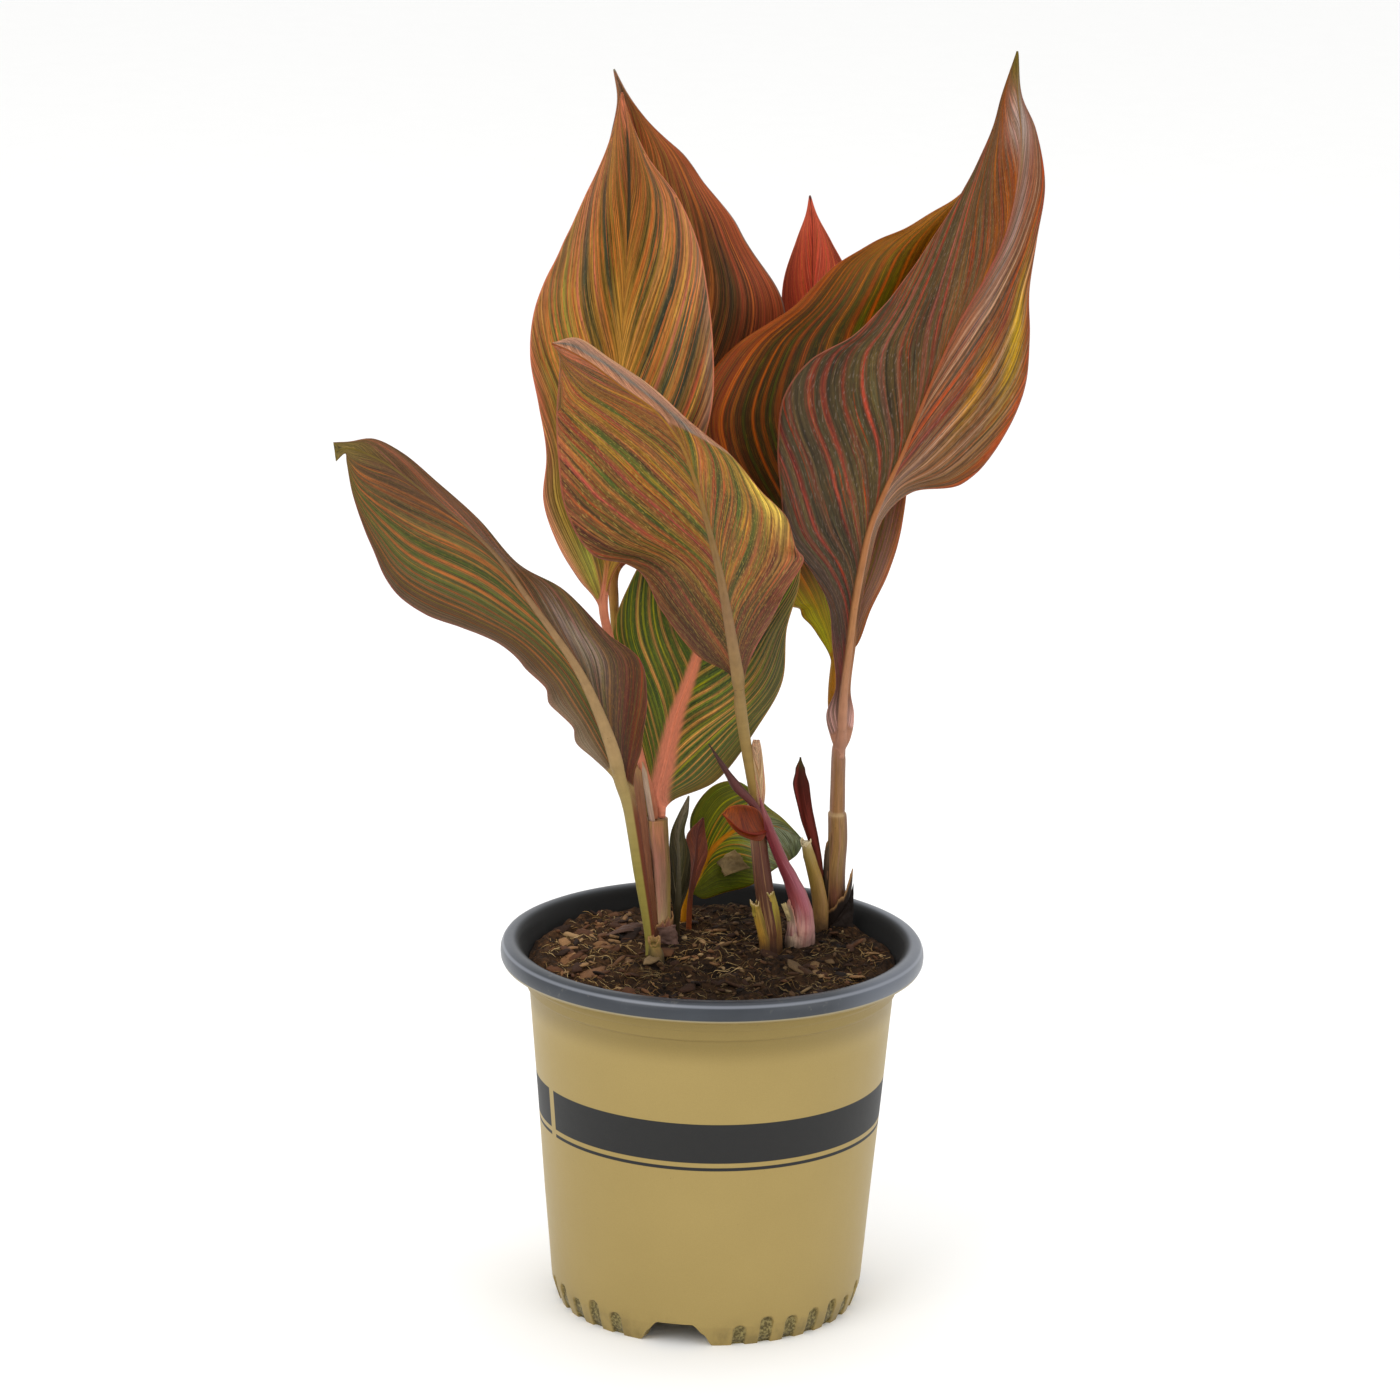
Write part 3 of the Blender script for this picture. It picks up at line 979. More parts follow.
LOOKS["leaf_right_tall"] = dict(
    seed=4, edge="#a86a58", rib_wide=1.0, flare=0.25, fleck="lilac", flecks=0.2, fine=110, thin=0.62,
    light=0.81, rich=1.12,
    rib=[
        (-0.7, "flesh"), (-0.3, "#a8785c"), (-0.1, "#b08470"), (0.1, "#a87a58"), (0.35, "#a06a4a"),
        (0.5, "#96583f"), (0.7, "dusty"), (0.85, "#96705c"), (1.0, "olive"),
    ],
    streaks=[("#4a4630", 0.6, 0.56), ("#7c3a2c", 0.55, 0.6), ("#5e4a2c", 0.6, 0.56), ("red", 0.5, 0.64)],
    sides=(
        half(
            [
                (-1.6, "wine"), (-0.3, "wine"), (-0.02, "#45302a"), (0.06, "#423826"), (0.3, "#4a3c20"),
                (0.45, "#5c4428"), (0.62, "#6a4a2a"), (0.76, "rust"), (0.88, "#96624c"), (1.0, "olive"),
            ],
            dusky=[
                (-0.12, 0.012, 0.6), (-0.05, 0.01, 0.7), (0.01, 0.01), (0.045, 0.008), (0.075, 0.01),
                (0.145, 0.01), (0.175, 0.012), (0.215, 0.012), (0.26, 0.01), (0.338, 0.014), (0.375, 0.01),
                (0.443, 0.018), (0.475, 0.008), (0.56, 0.01), (0.6, 0.012), (0.68, 0.014),
            ],
            dusty=[(0.11, 0.01), (0.3, 0.008), (0.41, 0.008)], green=[(0.235, 0.006)], rust=[(0.51, 0.016)],
            orange=[(0.64, 0.018), (0.72, 0.016), (0.79, 0.016)],
        ),
        half(
            [
                (-1.6, "dusty"), (-0.05, "#7c5a40"), (0.02, "#54402c"), (0.1, "#6c4c34"), (0.2, "#84583c"),
                (0.42, "#90583c"), (0.55, "#905e48"), (0.7, "#8c5c46"), (0.78, "bronze"), (1.0, "olive"),
            ],
            orange=[(0.06, 0.012)],
            dark=[
                (0.1, 0.012), (0.155, 0.012), (0.2, 0.012), (0.247, 0.014), (0.29, 0.01), (0.345, 0.014),
                (0.382, 0.012), (0.43, 0.012),
            ],
            flesh=[
                (0.13, 0.012), (0.175, 0.014), (0.225, 0.014), (0.27, 0.016), (0.41, 0.016), (0.455, 0.014),
            ],
            dusky=[(0.32, 0.03), (0.53, 0.016), (0.59, 0.014), (0.64, 0.014, 0.8)],
            scarlet=[(0.365, 0.014)], umber=[(0.49, 0.01), (0.565, 0.01)],
            dusty=[(0.58, 0.014), (0.7, 0.014)],
        ),
    ),
)
LOOKS["leaf_right_back"] = dict(
    seed=5, edge="rust", rib_wide=1.2, flare=0.4, fleck="amber", rich=1.35, light=1.08, comb="green",
    rib=[(-0.7, "flesh"), (0.0, "tan"), (0.3, "ochre"), (1.0, "rust")],
    streaks=[("moss", 0.6, 0.56), ("brown", 0.6, 0.58), ("#c26a22", 0.5, 0.64), ("dark", 0.4, 0.62)],
    sides=(
        half(
            [
                (-1.6, "#84402a"), (-0.52, "#7c3a24"), (-0.35, "#4c2a18"), (-0.1, "#463418"),
                (0.12, "#443414"), (0.2, "#504214"), (0.42, "#52491a"), (0.6, "#5a3c1c"), (0.75, "rust"),
                (1.0, "dusty"),
            ],
            green=[(-0.03, 0.014), (0.15, 0.02), (0.265, 0.014), (0.35, 0.03)],
            umber=[(-1.1, 0.04), (-0.95, 0.04), (-0.8, 0.04), (-0.65, 0.03)],
            sienna=[
                (-0.5, 0.06), (-0.18, 0.03), (-0.09, 0.03), (0.02, 0.04), (0.11, 0.03), (0.31, 0.034),
                (0.5, 0.024), (0.62, 0.02), (0.7, 0.02),
            ],
            rust=[(-0.38, 0.03), (0.19, 0.014), (0.56, 0.02)],
            moss=[(-0.27, 0.03), (0.07, 0.012), (0.44, 0.018)], gold=[(0.225, 0.022)],
            coral=[(0.395, 0.022), (0.78, 0.02)],
        ),
        half(
            [
                (-1.6, "olive"), (-0.6, "#5c5a2c"), (-0.45, "#6c3a30"), (0.0, "wine"), (0.2, "umber"),
                (0.5, "moss"), (0.75, "rust"), (1.0, "dusty"),
            ],
            pink=[(-0.4, 0.02, 0.7), (-0.12, 0.014, 0.6)],
            dusty=[(-0.6, 0.03), (-0.48, 0.02), (-0.3, 0.03), (-0.2, 0.02), (0.0, 0.016)],
            green=[(-0.54, 0.03), (-0.25, 0.014)],
            red=[(-0.05, 0.014), (0.07, 0.014), (0.22, 0.014), (0.54, 0.014)],
            orange=[(0.14, 0.016), (0.3, 0.018), (0.46, 0.018), (0.63, 0.018)], rust=[(0.38, 0.014)],
        ),
    ),
)
LOOKS["leaf_green"] = dict(
    seed=6, edge="tan", rib_wide=3.2, flare=2.2, soft=1.3, fleck="lime", upper_rib=1.0, rich=1.15,
    light=0.95,
    rib=[
        (-0.7, "#cf8a72"), (-0.05, "#dc9680"), (0.2, "#dc927a"), (0.5, "#d68e74"), (0.8, "salmon"),
        (1.0, "yellow"),
    ],
    streaks=[("deepgreen", 0.6, 0.56), ("#6a7430", 0.6, 0.57), ("olive", 0.5, 0.6)],
    sides=(
        half(
            [
                (-1.6, "tan"), (-0.5, "#70602e"), (-0.2, "green"), (0.1, "#3f4c1c"), (0.45, "#44501c"),
                (0.7, "olive"), (1.0, "lime"),
            ],
            olive=[(-0.45, 0.03)],
            peach=[
                (-0.32, 0.02), (-0.14, 0.016), (-0.06, 0.012), (0.015, 0.018), (0.17, 0.026), (0.27, 0.018),
                (0.355, 0.018), (0.41, 0.012), (0.47, 0.012), (0.55, 0.014), (0.73, 0.014),
            ],
            lime=[
                (-0.22, 0.014), (0.06, 0.008), (0.11, 0.008), (0.215, 0.008), (0.31, 0.008), (0.64, 0.01),
            ],
        ),
        half(
            [
                (-1.6, "tan"), (-0.6, "#5c5234"), (-0.3, "#465030"), (0.1, "#404c20"), (0.45, "#3e4a20"),
                (0.7, "olive"), (1.0, "lime"),
            ],
            peach=[
                (-0.5, 0.02), (-0.33, 0.016), (-0.26, 0.014), (-0.18, 0.018), (-0.11, 0.014), (-0.02, 0.02),
                (0.035, 0.012), (0.075, 0.022), (0.14, 0.026), (0.19, 0.012), (0.235, 0.01), (0.285, 0.018),
                (0.38, 0.014), (0.45, 0.01), (0.53, 0.014), (0.62, 0.012),
            ],
            tan=[(-0.4, 0.014)], lime=[(-0.05, 0.012), (0.11, 0.008), (0.33, 0.01), (0.72, 0.012)],
        ),
    ),
)
LOOKS["leaf_low_left"] = dict(
    seed=7, edge="dusty", rib_wide=0.85, flare=0.3, fleck="ochre", flecks=0.4, fine=100, light=0.86,
    flank=("#6e3a26", 0.25, 0.55, -0.75, 0.02),
    rib=[
        (-0.7, "#8e8442"), (-0.15, "#968846"), (0.0, "#a08c58"), (0.12, "#a0845c"), (0.5, "#8a6a4a"),
        (0.75, "#6a5034"), (1.0, "olive"),
    ],
    streaks=[("moss", 0.6, 0.57), ("#4e3c24", 0.65, 0.57), ("green", 0.5, 0.6), ("#6e4a2a", 0.4, 0.62)],
    sides=(
        half(
            [
                (-1.6, "mauve"), (-0.9, "slate"), (-0.5, "umber"), (-0.1, "#5c5030"), (0.05, "#59582c"),
                (0.35, "#545026"), (0.6, "umber"), (0.8, "#5a3e28"), (1.0, "olive"),
            ],
            mauve=[(-1.2, 0.03, 0.5)], dusty=[(-0.9, 0.03, 0.5)],
            rust=[(-0.7, 0.03), (-0.02, 0.03), (0.54, 0.02), (0.74, 0.02)], olive=[(-0.5, 0.03)],
            copper=[
                (-0.35, 0.05), (-0.19, 0.03), (0.165, 0.034), (0.26, 0.03), (0.34, 0.012), (0.39, 0.032),
                (0.46, 0.012), (0.6, 0.04),
            ],
            moss=[(-0.26, 0.02), (0.43, 0.012), (0.5, 0.012)],
            green=[(-0.1, 0.03), (0.05, 0.03), (0.21, 0.02), (0.31, 0.03)], ochre=[(0.1, 0.012)],
            umber=[(0.68, 0.014), (0.82, 0.014)],
        ),
        half(
            [
                (-1.6, "#42201a"), (-0.1, "#4c261c"), (-0.02, "#573a2a"), (0.1, "#54422a"), (0.3, "umber"),
                (0.55, "#7c5440"), (0.66, "#84543e"), (0.78, "umber"), (1.0, "olive"),
            ],
            red=[(-0.35, 0.03, 0.8), (-0.2, 0.024, 0.8)],
            dusty=[(-0.28, 0.01), (-0.07, 0.01), (0.12, 0.01), (0.84, 0.012)],
            moss=[(-0.13, 0.01), (-0.01, 0.01), (0.2, 0.01), (0.44, 0.01)], ochre=[(0.04, 0.01)],
            green=[(0.08, 0.008)], lilac=[(0.16, 0.01, 0.5)], umber=[(0.31, 0.01), (0.75, 0.012)],
            coral=[(0.25, 0.012, 0.5), (0.37, 0.012, 0.8), (0.58, 0.026, 0.8), (0.67, 0.03, 0.8)],
            rust=[(0.5, 0.012)],
        ),
    ),
)
LOOKS["leaf_young"] = dict(
    seed=8, edge="coral", rib_wide=1.4, flare=0.3, fleck="orange", fine=70, upper_rib=0.9, light=1.28,
    rich=0.97, rib=[(-0.7, "wine"), (0.0, "wine"), (0.5, "#963f2b"), (0.8, "#7a3020"), (1.0, "wine")],
    streaks=[("orange", 0.7, 0.56), ("scarlet", 0.7, 0.52), ("rust", 0.6, 0.6)],
    sides=repeat(
        half(
            [
                (-1.6, "wine"), (0.0, "#80301e"), (0.3, "#b04228"), (0.6, "#b8462e"), (0.85, "#bc4a30"),
                (1.0, "red"),
            ],
            red=[(0.1, 0.02), (0.78, 0.02)], orange=[(0.2, 0.02), (0.42, 0.02), (0.66, 0.02)],
            rust=[(0.3, 0.02)], coral=[(0.55, 0.02)],
        ),
    ),
)
LOOKS["leaf_low_back"] = dict(
    seed=9, edge="tan", rib_wide=1.8, soft=0.3, fleck="lime", flecks=0.2, fine=50, upper_rib=1.0,
    light=0.88, rich=1.25, shine=0.12,
    rib=[
        (-0.7, "wine"), (-0.1, "peach"), (0.1, "#bd8a3c"), (0.35, "#b97a3e"), (0.6, "peach"), (1.0, "waxy"),
    ],
    streaks=[("deepgreen", 0.55, 0.56), ("#6c7a30", 0.6, 0.57), ("olive", 0.5, 0.62)],
    sides=repeat(
        half(
            [(-1.6, "#4a4a20"), (0.0, "#5c5e24"), (0.4, "#6c6c2a"), (0.7, "leafgreen"), (1.0, "waxy")],
            lime=[(-0.3, 0.03), (0.0, 0.03), (0.2, 0.03), (0.45, 0.03)],
            deepgreen=[(-0.08, 0.03), (0.26, 0.03)],
            peach=[(-0.15, 0.03), (0.1, 0.03), (0.32, 0.026), (0.6, 0.02)],
        ),
    ),
)
LOOKS["leaf_small_grey"] = dict(
    seed=10, edge="olive", rib_wide=1.2, flare=0.3, fleck="olive", fine=40, light=0.53, shine=0.08,
    rib=[(-0.7, "brown"), (0.0, "#443c26"), (1.0, "#a0967a")],
    streaks=[("deepgreen", 0.5, 0.54), ("#8c8264", 0.6, 0.56)],
    sides=repeat(
        half(
            [(-1.6, "shade"), (0.0, "#342c18"), (0.4, "#605838"), (1.0, "#a89c80")],
            olive=[(0.2, 0.05, 0.5), (0.5, 0.05, 0.6)], waxy=[(0.7, 0.04, 0.6)],
        ),
    ),
)
LOOKS["leaf_small_red"] = dict(
    seed=11, edge="dusty", rib_wide=1.2, flare=0.3, fleck="rust", fine=40, light=1.05,
    rib=[(-0.7, "rust"), (0.0, "#5c3020"), (1.0, "wine")],
    streaks=[("wine", 0.5, 0.56), ("#84503a", 0.5, 0.58)],
    sides=repeat(
        half(
            [(-1.6, "wine"), (0.3, "#6c3a28"), (1.0, "#5c2a20")], dusty=[(0.2, 0.05, 0.5)],
            rust=[(0.5, 0.05, 0.5)],
        ),
    ),
)


def make_leaves():
    """every large leaf with its own look"""
    for name, spec in LEAVES.items():
        material = leaf_material(spec["slot"] + "." + name, dict(LOOKS[name], upper=spec["upper"]))
        leaf_piece(name, spec, material)


# ---- stalks ----
def stalk_material(name, heights, low, high, streaks, seed, rough=0.42, edge=None, gloss=0.25):
    """colours change with height; long fibres and small brown specks run up the stalk"""
    g = Graph(name, Specular_IOR_Level=gloss)
    high_up = g.attribute("high")
    turn = g.attribute("turn")
    wander = g.noise(g.vector(turn * 9, high_up * 0.05, seed), 1, 2) - 0.5
    colour, _ = g.ramp(high_up + wander * 9, heights, low, high)
    for i, (streak, amount, cut) in enumerate(streaks):
        pattern = g.noise(g.vector(turn * 26 + 7 * i, high_up * 0.035, seed + 3 * i), 1, 2)
        colour = g.mix(colour, streak, g.step(pattern, cut, cut + 0.07) * amount)
    colour = g.mix(colour, g.attribute("tint", "Color"), g.attribute("tint", "Alpha"))
    fibre = g.noise(g.vector(turn * 90, high_up * 0.12, seed), 1, 3, 0.6)
    colour = g.shade(colour, fibre * 1.3 + 0.3)
    speck = g.noise(g.vector(turn * 40, high_up * 0.9, seed + 5), 1, 2)
    colour = g.mix(colour, "dark", g.step(speck, 0.68, 0.74) * 0.5)
    soil_rub = 1 - g.step(high_up + g.noise(g.place(), 500, 2) * 8, SOIL_Z + 2, SOIL_Z + 12)
    colour = g.mix(colour, "shade", soil_rub * 0.75)
    if edge:
        colour = g.mix(colour, edge, g.attribute("rim") * 0.85)
    return g.finish(colour, fibre * 0.2 + rough, g.bump(fibre, 0.00022))


def tube(rows, sides=48, step=0.9, flat=True, wrap=(), rough=0.06, seed=0):
    """points of a stalk through rows [x, y, z, half width, half depth]; `wrap` lists sheath margins as
    (height from, height to, degrees at the foot, degrees at the top, how far the margin stands out)"""
    rows = [r if len(r) == 5 else [*r, r[3]] for r in rows]
    middles = np.array([r[:3] for r in rows], float)
    times = even_times(middles, step)
    c = spline(middles, times)
    along = unit(np.gradient(c, axis=0))
    if flat:
        along = np.tile([0.0, 0.0, 1.0], (len(c), 1))
    side = unit(np.cross([0, 1, 0], along))
    deep = np.cross(along, side)
    k = np.minimum(np.floor(times).astype(int), len(rows) - 2)
    share = smooth(times - k, 0, 1)
    sizes = np.array([r[3:5] for r in rows], float)
    size = sizes[k] * (1 - share)[:, None] + sizes[k + 1] * share[:, None]
    a = np.linspace(0, 2 * pi, sides, endpoint=False)
    ring = np.stack([np.cos(a), np.sin(a)], 1)
    grow = np.zeros((len(c), sides))
    z = c[:, 2][:, None]
    for z0, z1, a0, a1, proud in wrap:
        f = np.clip((z - z0) / (z1 - z0), 0, 1)
        edge = np.radians(a0 + (a1 - a0) * f)
        behind = ((a[None] - edge) % (2 * pi)) / (2 * pi)
        within = smooth(z, z0 - 1, z0 + 1) * (1 - smooth(z, z1 - 1, z1 + 0.3))
        grow += proud * (1 - behind) ** 2 * smooth(behind, 0, 0.02) * within
    around = np.stack([np.cos(a)[None] * 3 + 0 * z, np.sin(a)[None] * 3 + 0 * z, z / 14 + 0 * a[None]], -1)
    grow += rough * field(around * 2, seed) + 1.2 * rough * field(around * 0.6, seed + 1)
    wide = (size[:, :1] + grow) * ring[:, 0]
    depth = (size[:, 1:] + grow) * ring[:, 1]
    points = c[:, None] + side[:, None] * wide[..., None] + deep[:, None] * depth[..., None]
    turn = np.tile(a / (2 * pi), (len(c), 1))
    return points, turn


def closed_tube(points):
    """points and faces of a tube's grid of points with a fan over each end"""
    rows, sides = points.shape[:2]
    foot = rows * sides
    flat = np.concatenate([points.reshape(-1, 3), [points[0].mean(0), points[-1].mean(0)]])
    faces = grid_faces(rows, sides, closed=True).tolist()
    return flat, faces + fan(0, sides, foot, flip=True) + fan(foot - sides, sides, foot + 1)


class Parts:
    """several closed shapes gathered into one piece, with their attributes"""

    def __init__(self):
        self.points, self.faces, self.values = [], [], []
        self.count = 0

    def add(self, points, faces, **values):
        """one more closed shape; every shape brings the same attributes"""
        self.faces += [[i + self.count for i in face] for face in faces]
        self.points.append(points)
        self.values.append(values)
        self.count += len(points)

    def add_shape(self, points, faces, turn, rim, zones):
        """a shape with its turn round the stalk in whole turns, its dry rim and its tints"""
        tint = tint_layer(zones, points[:, 2], turn * 360, wrap=360)
        self.add(points, faces, turn=turn, high=points[:, 2], rim=rim, tint=tint)

    def add_tube(self, rows, zones=(), **shape):
        """a closed stalk; its tints are (height, degrees, reach up, reach round, colour, amount)"""
        points, turn = tube(rows, **shape)
        flat, faces = closed_tube(points)
        self.add_shape(flat, faces, np.concatenate([turn.ravel(), [0, 0]]), np.zeros(len(flat)), zones)

    def add_sheath(self, zones=(), **shape):
        """a torn shell round a stalk, tinted in the same way"""
        self.add_shape(*sheath(**shape), zones)

    def piece(self, name, material, replaces=(), slot=None):
        """the mesh piece made of all the shapes"""
        values = {key: np.concatenate([v[key] for v in self.values]) for key in self.values[0]}
        return make(name, np.concatenate(self.points), self.faces, material, replaces, slot, **values)


def sheath(x, y, inner, foot, top, start, stop, thick=0.45, flare=0.0, torn=1.5, lean=(0, 0), seed=0, rows=40,
           columns=60):
    """a curved shell round (x, y) from `start` to `stop` degrees; its top edge is torn.
    top is a function of the share from start to stop; lean moves the axis for each mm of height"""
    f = np.linspace(0, 1, columns)
    a = np.radians(start + (stop - start) * f)
    noisy = field(np.stack([f * 11, 0 * f + seed, 0 * f], -1))
    noisy = noisy + 0.6 * field(np.stack([f * 37, 0 * f, 0 * f], -1), seed)
    edge = np.array([top(s) for s in f]) + torn * noisy
    t = np.linspace(0, 1, rows)[:, None]
    z = foot + (edge - foot) * t
    dent = field(np.stack([f * 5 + 0 * t, t * 4 + 0 * f, 0 * t + 0 * f], -1), seed)
    curl = flare * smooth(t, 0.55, 1) + 0.25 * dent
    shells = []
    for r in (inner + thick, inner):
        wide = r + curl + 0.0 * f
        px = x + lean[0] * (z - foot) + wide * np.cos(a)
        py = y + lean[1] * (z - foot) + wide * np.sin(a)
        shells.append(np.stack([px, py, z], -1))
    points = np.concatenate([s.reshape(-1, 3) for s in shells])
    rim = np.maximum(smooth(t, 0.9, 1) + 0 * f, smooth(np.abs(f - 0.5), 0.47, 0.5) + 0 * t)
    turn = np.tile(a / (2 * pi), (rows, 1))
    return points, sheet_faces(rows, columns), np.tile(turn.ravel(), 2), np.tile(rim.ravel(), 2)


def left_stem():
    """the left stem, and the old and torn sheaths round it"""
    stem = Parts()
    rows = [
        [-21, 20, ROOT_Z, 3.8, 3.8], [-21, 20, 160.5, 3.6, 4], [-21.8, 20, 177.5, 3.8, 4.4],
        [-23.4, 20.2, 191, 4.5, 4.9], [-23.6, 20.2, 195, 4.5, 4.9],
    ]
    zones = [
        (180, 330, 30, 28, "olive", 0.75), (160, 330, 18, 20, "petiole", 0.7),
        (170, 255, 20, 20, "pink", 0.5), (150, 262, 8, 30, "straw", 0.5), (190, 280, 8, 30, "salmon", 0.5),
    ]
    stem.add_tube(rows, zones, wrap=[(ROOT_Z, 196, 215, 232, 0.35), (ROOT_Z, 196, 318, 306, 0.25)], seed=3)
    material = stalk_material(
        "stem_sheath.left",
        [(134, "#9a7458"), (150, "#a88860"), (165, "#9a765c"), (180, "#8c5f48"), (196, "#94703c")], 134,
        200, [("pink", 0.5, 0.55), ("petiole", 0.4, 0.6), ("mauve", 0.4, 0.6)], 21, edge="cream",
    )
    stem.piece("stem_left_stalk", material, "stem_left", "stem_sheath")
    torn = Parts()
    torn.add_sheath(
        x=-21.3, y=20, inner=4.1, foot=150, top=lambda s: 190 - 30 * abs(s - 0.35), start=196, stop=236,
        torn=1.2, lean=(-0.03, 0), seed=2, thick=0.35,
    )
    torn.add_sheath(
        x=-23.4, y=18.4, inner=3.2, foot=195, top=lambda s: 228 - 12 * s, start=205, stop=262, torn=0.8,
        lean=(-0.17, 0), seed=4, thick=0.35, zones=[(210, 230, 22, 90, "#b89c86", 0.85)],
    )
    torn.add_sheath(
        x=-22.6, y=17.4, inner=2.1, foot=143, top=lambda s: 221 - 5 * s, start=176, stop=318, torn=0.9,
        lean=(-0.12, 0), seed=6, thick=0.35,
        zones=[(198, 250, 60, 200, "#7c4a2e", 0.92), (198, 205, 60, 16, "#8a6a3c", 0.7)],
    )
    torn.add_sheath(
        x=-21, y=20, inner=4.0, foot=ROOT_Z, top=lambda s: 151.5 + 3 * s, start=-125, stop=25, torn=2.0,
        flare=0.9, seed=5, zones=[(150, 300, 6, 40, "pink", 0.6), (146, 350, 6, 40, "petiole", 0.5)],
    )
    material = stalk_material(
        "stem_sheath.torn", [(134, "dark"), (150, "brown"), (170, "brown"), (196, "mauve"), (222, "straw")],
        134, 224, [("dark", 0.6, 0.55), ("mauve", 0.5, 0.58)], 22, rough=0.6, edge="tan",
    )
    torn.piece("stem_left_torn_sheath", material, slot="stem_sheath")


def centre_stem():
    """the centre stem, its two cut sheath ends and the dry flap on its front"""
    stem = Parts()
    rows = [
        [23.5, 11, ROOT_Z, 4, 4], [23.5, 11, 148.5, 4, 4], [20.5, 12, 168, 3.6, 3.6],
        [18, 13, 186.5, 3.2, 3.2], [16, 14, 203, 3, 3],
    ]
    zones = [
        (195, 200, 14, 50, "flesh", 0.5), (178, 330, 16, 40, "wine", 0.5), (200, 270, 8, 60, "tan", 0.6),
    ]
    stem.add_tube(rows, zones, wrap=[(ROOT_Z, 203, 300, 280, 0.3), (150, 196, 215, 235, 0.25)], seed=7)
    material = stalk_material(
        "stem_sheath.centre",
        [(134, "brown"), (165, "#52301e"), (185, "#5e3423"), (200, "#8c6840"), (205, "#8c6840")], 134, 206,
        [("wine", 0.5, 0.56), ("tan", 0.5, 0.58)], 23, edge="cream",
    )
    stem.piece("stem_centre_stalk", material, "stem_centre", "stem_sheath")
    stubs = Parts()
    left = [
        [21.5, 8.6, ROOT_Z, 2.6, 2.2], [21.5, 8.6, 147, 2.6, 2.2], [19.2, 8.7, 156, 2.3, 1.9],
        [17.2, 9.2, 163, 1.7, 1.3],
    ]
    right = [
        [26, 9.6, ROOT_Z, 2.2, 2], [26, 9.6, 148, 2.4, 2], [24.6, 10, 160, 2.2, 1.9],
        [22.8, 10.4, 168, 1.8, 1.4],
    ]
    left_zones = [
        (152, 240, 8, 60, "amber", 0.8), (152, 320, 9, 50, "olive", 0.8),
        (163, 270, 2, 300, "#6a4a26", 0.8),
    ]
    right_zones = [
        (160, 250, 10, 60, "lime", 0.6), (150, 300, 10, 60, "brown", 0.7),
        (168, 270, 2, 300, "#6a5a26", 0.8),
    ]
    stubs.add_tube(left, left_zones, sides=36, seed=9)
    stubs.add_tube(right, right_zones, sides=36, seed=10)
    stubs.add_sheath(
        x=17.6, y=9.1, inner=1.35, foot=158, top=lambda s: 163.6 + 0.8 * sin(9 * s), start=120, stop=440,
        torn=0.5, flare=0.25, lean=(-0.14, 0.03), seed=6, thick=0.3, rows=16, columns=90,
        zones=[(165, 0, 2, 900, "tan", 0.8)],
    )
    stubs.add_sheath(
        x=23.4, y=10.3, inner=1.6, foot=162, top=lambda s: 168.5 + 1.2 * sin(7 * s), start=100, stop=420,
        torn=0.8, flare=0.3, lean=(-0.2, 0.04), seed=8, thick=0.3, rows=16, columns=90,
        zones=[(170, 0, 3, 900, "#a8984e", 0.8)],
    )
    material = stalk_material(
        "stem_sheath.stubs", [(134, "brown"), (148, "#8a602a"), (160, "#94802c"), (172, "#a09044")], 134,
        174, [("brown", 0.6, 0.55), ("amber", 0.5, 0.58)], 24, edge="straw",
    )
    stubs.piece("stem_centre_stubs", material, slot="stem_sheath")
    flap_spec = dict(
        stalk=[[18.2, 13, 194, 0.8]],
        blade=[
            [[18.6, 12.2, 203.5], [16.9, 12.8, 203.5], [19.8, 12.2, 203.5]],
            [[18.4, 11.6, 210], [16.4, 12.2, 210], [20.2, 11.8, 210]],
            [[17.4, 10.4, 219], [15.2, 11.2, 219], [19.4, 10.8, 219]],
            [[16.3, 9.2, 228], [14.2, 10, 228], [18.2, 9.6, 228]],
            [[16.1, 9.0, 231.5], [14.8, 9.4, 231.5], [17.4, 9.3, 231.5]],
        ],
        upper=True, camber=0, wave=0, waves=1, phase=0, slot="stem_sheath", columns=10, step=0.8,
        ripple=0.1, veins=repeat((0.5, 0.9, 0.8, 1, 1)),
        zones=[(0.2, 0, 0.3, 3, "pink", 0.6), (0.85, 0, 0.2, 3, "flesh", 0.6)],
    )
    look = dict(
        seed=12, upper=True, edge="cream", rib_wide=0.6, flare=0.1, fleck="tan", fine=24, upper_rib=0.3,
        rib=[(-0.7, "pink"), (1.0, "straw")], streaks=[("pink", 0.5, 0.55), ("tan", 0.6, 0.55)],
        sides=repeat(
            ([(-0.8, "pink"), (0.3, "straw"), (1.0, "flesh")], [(0.2, 0.1, "pink"), (0.6, 0.1, "tan")]),
        ),
    )
    leaf_piece("stem_centre", flap_spec, leaf_material("stem_sheath.flap", look), "stem_centre_flap")


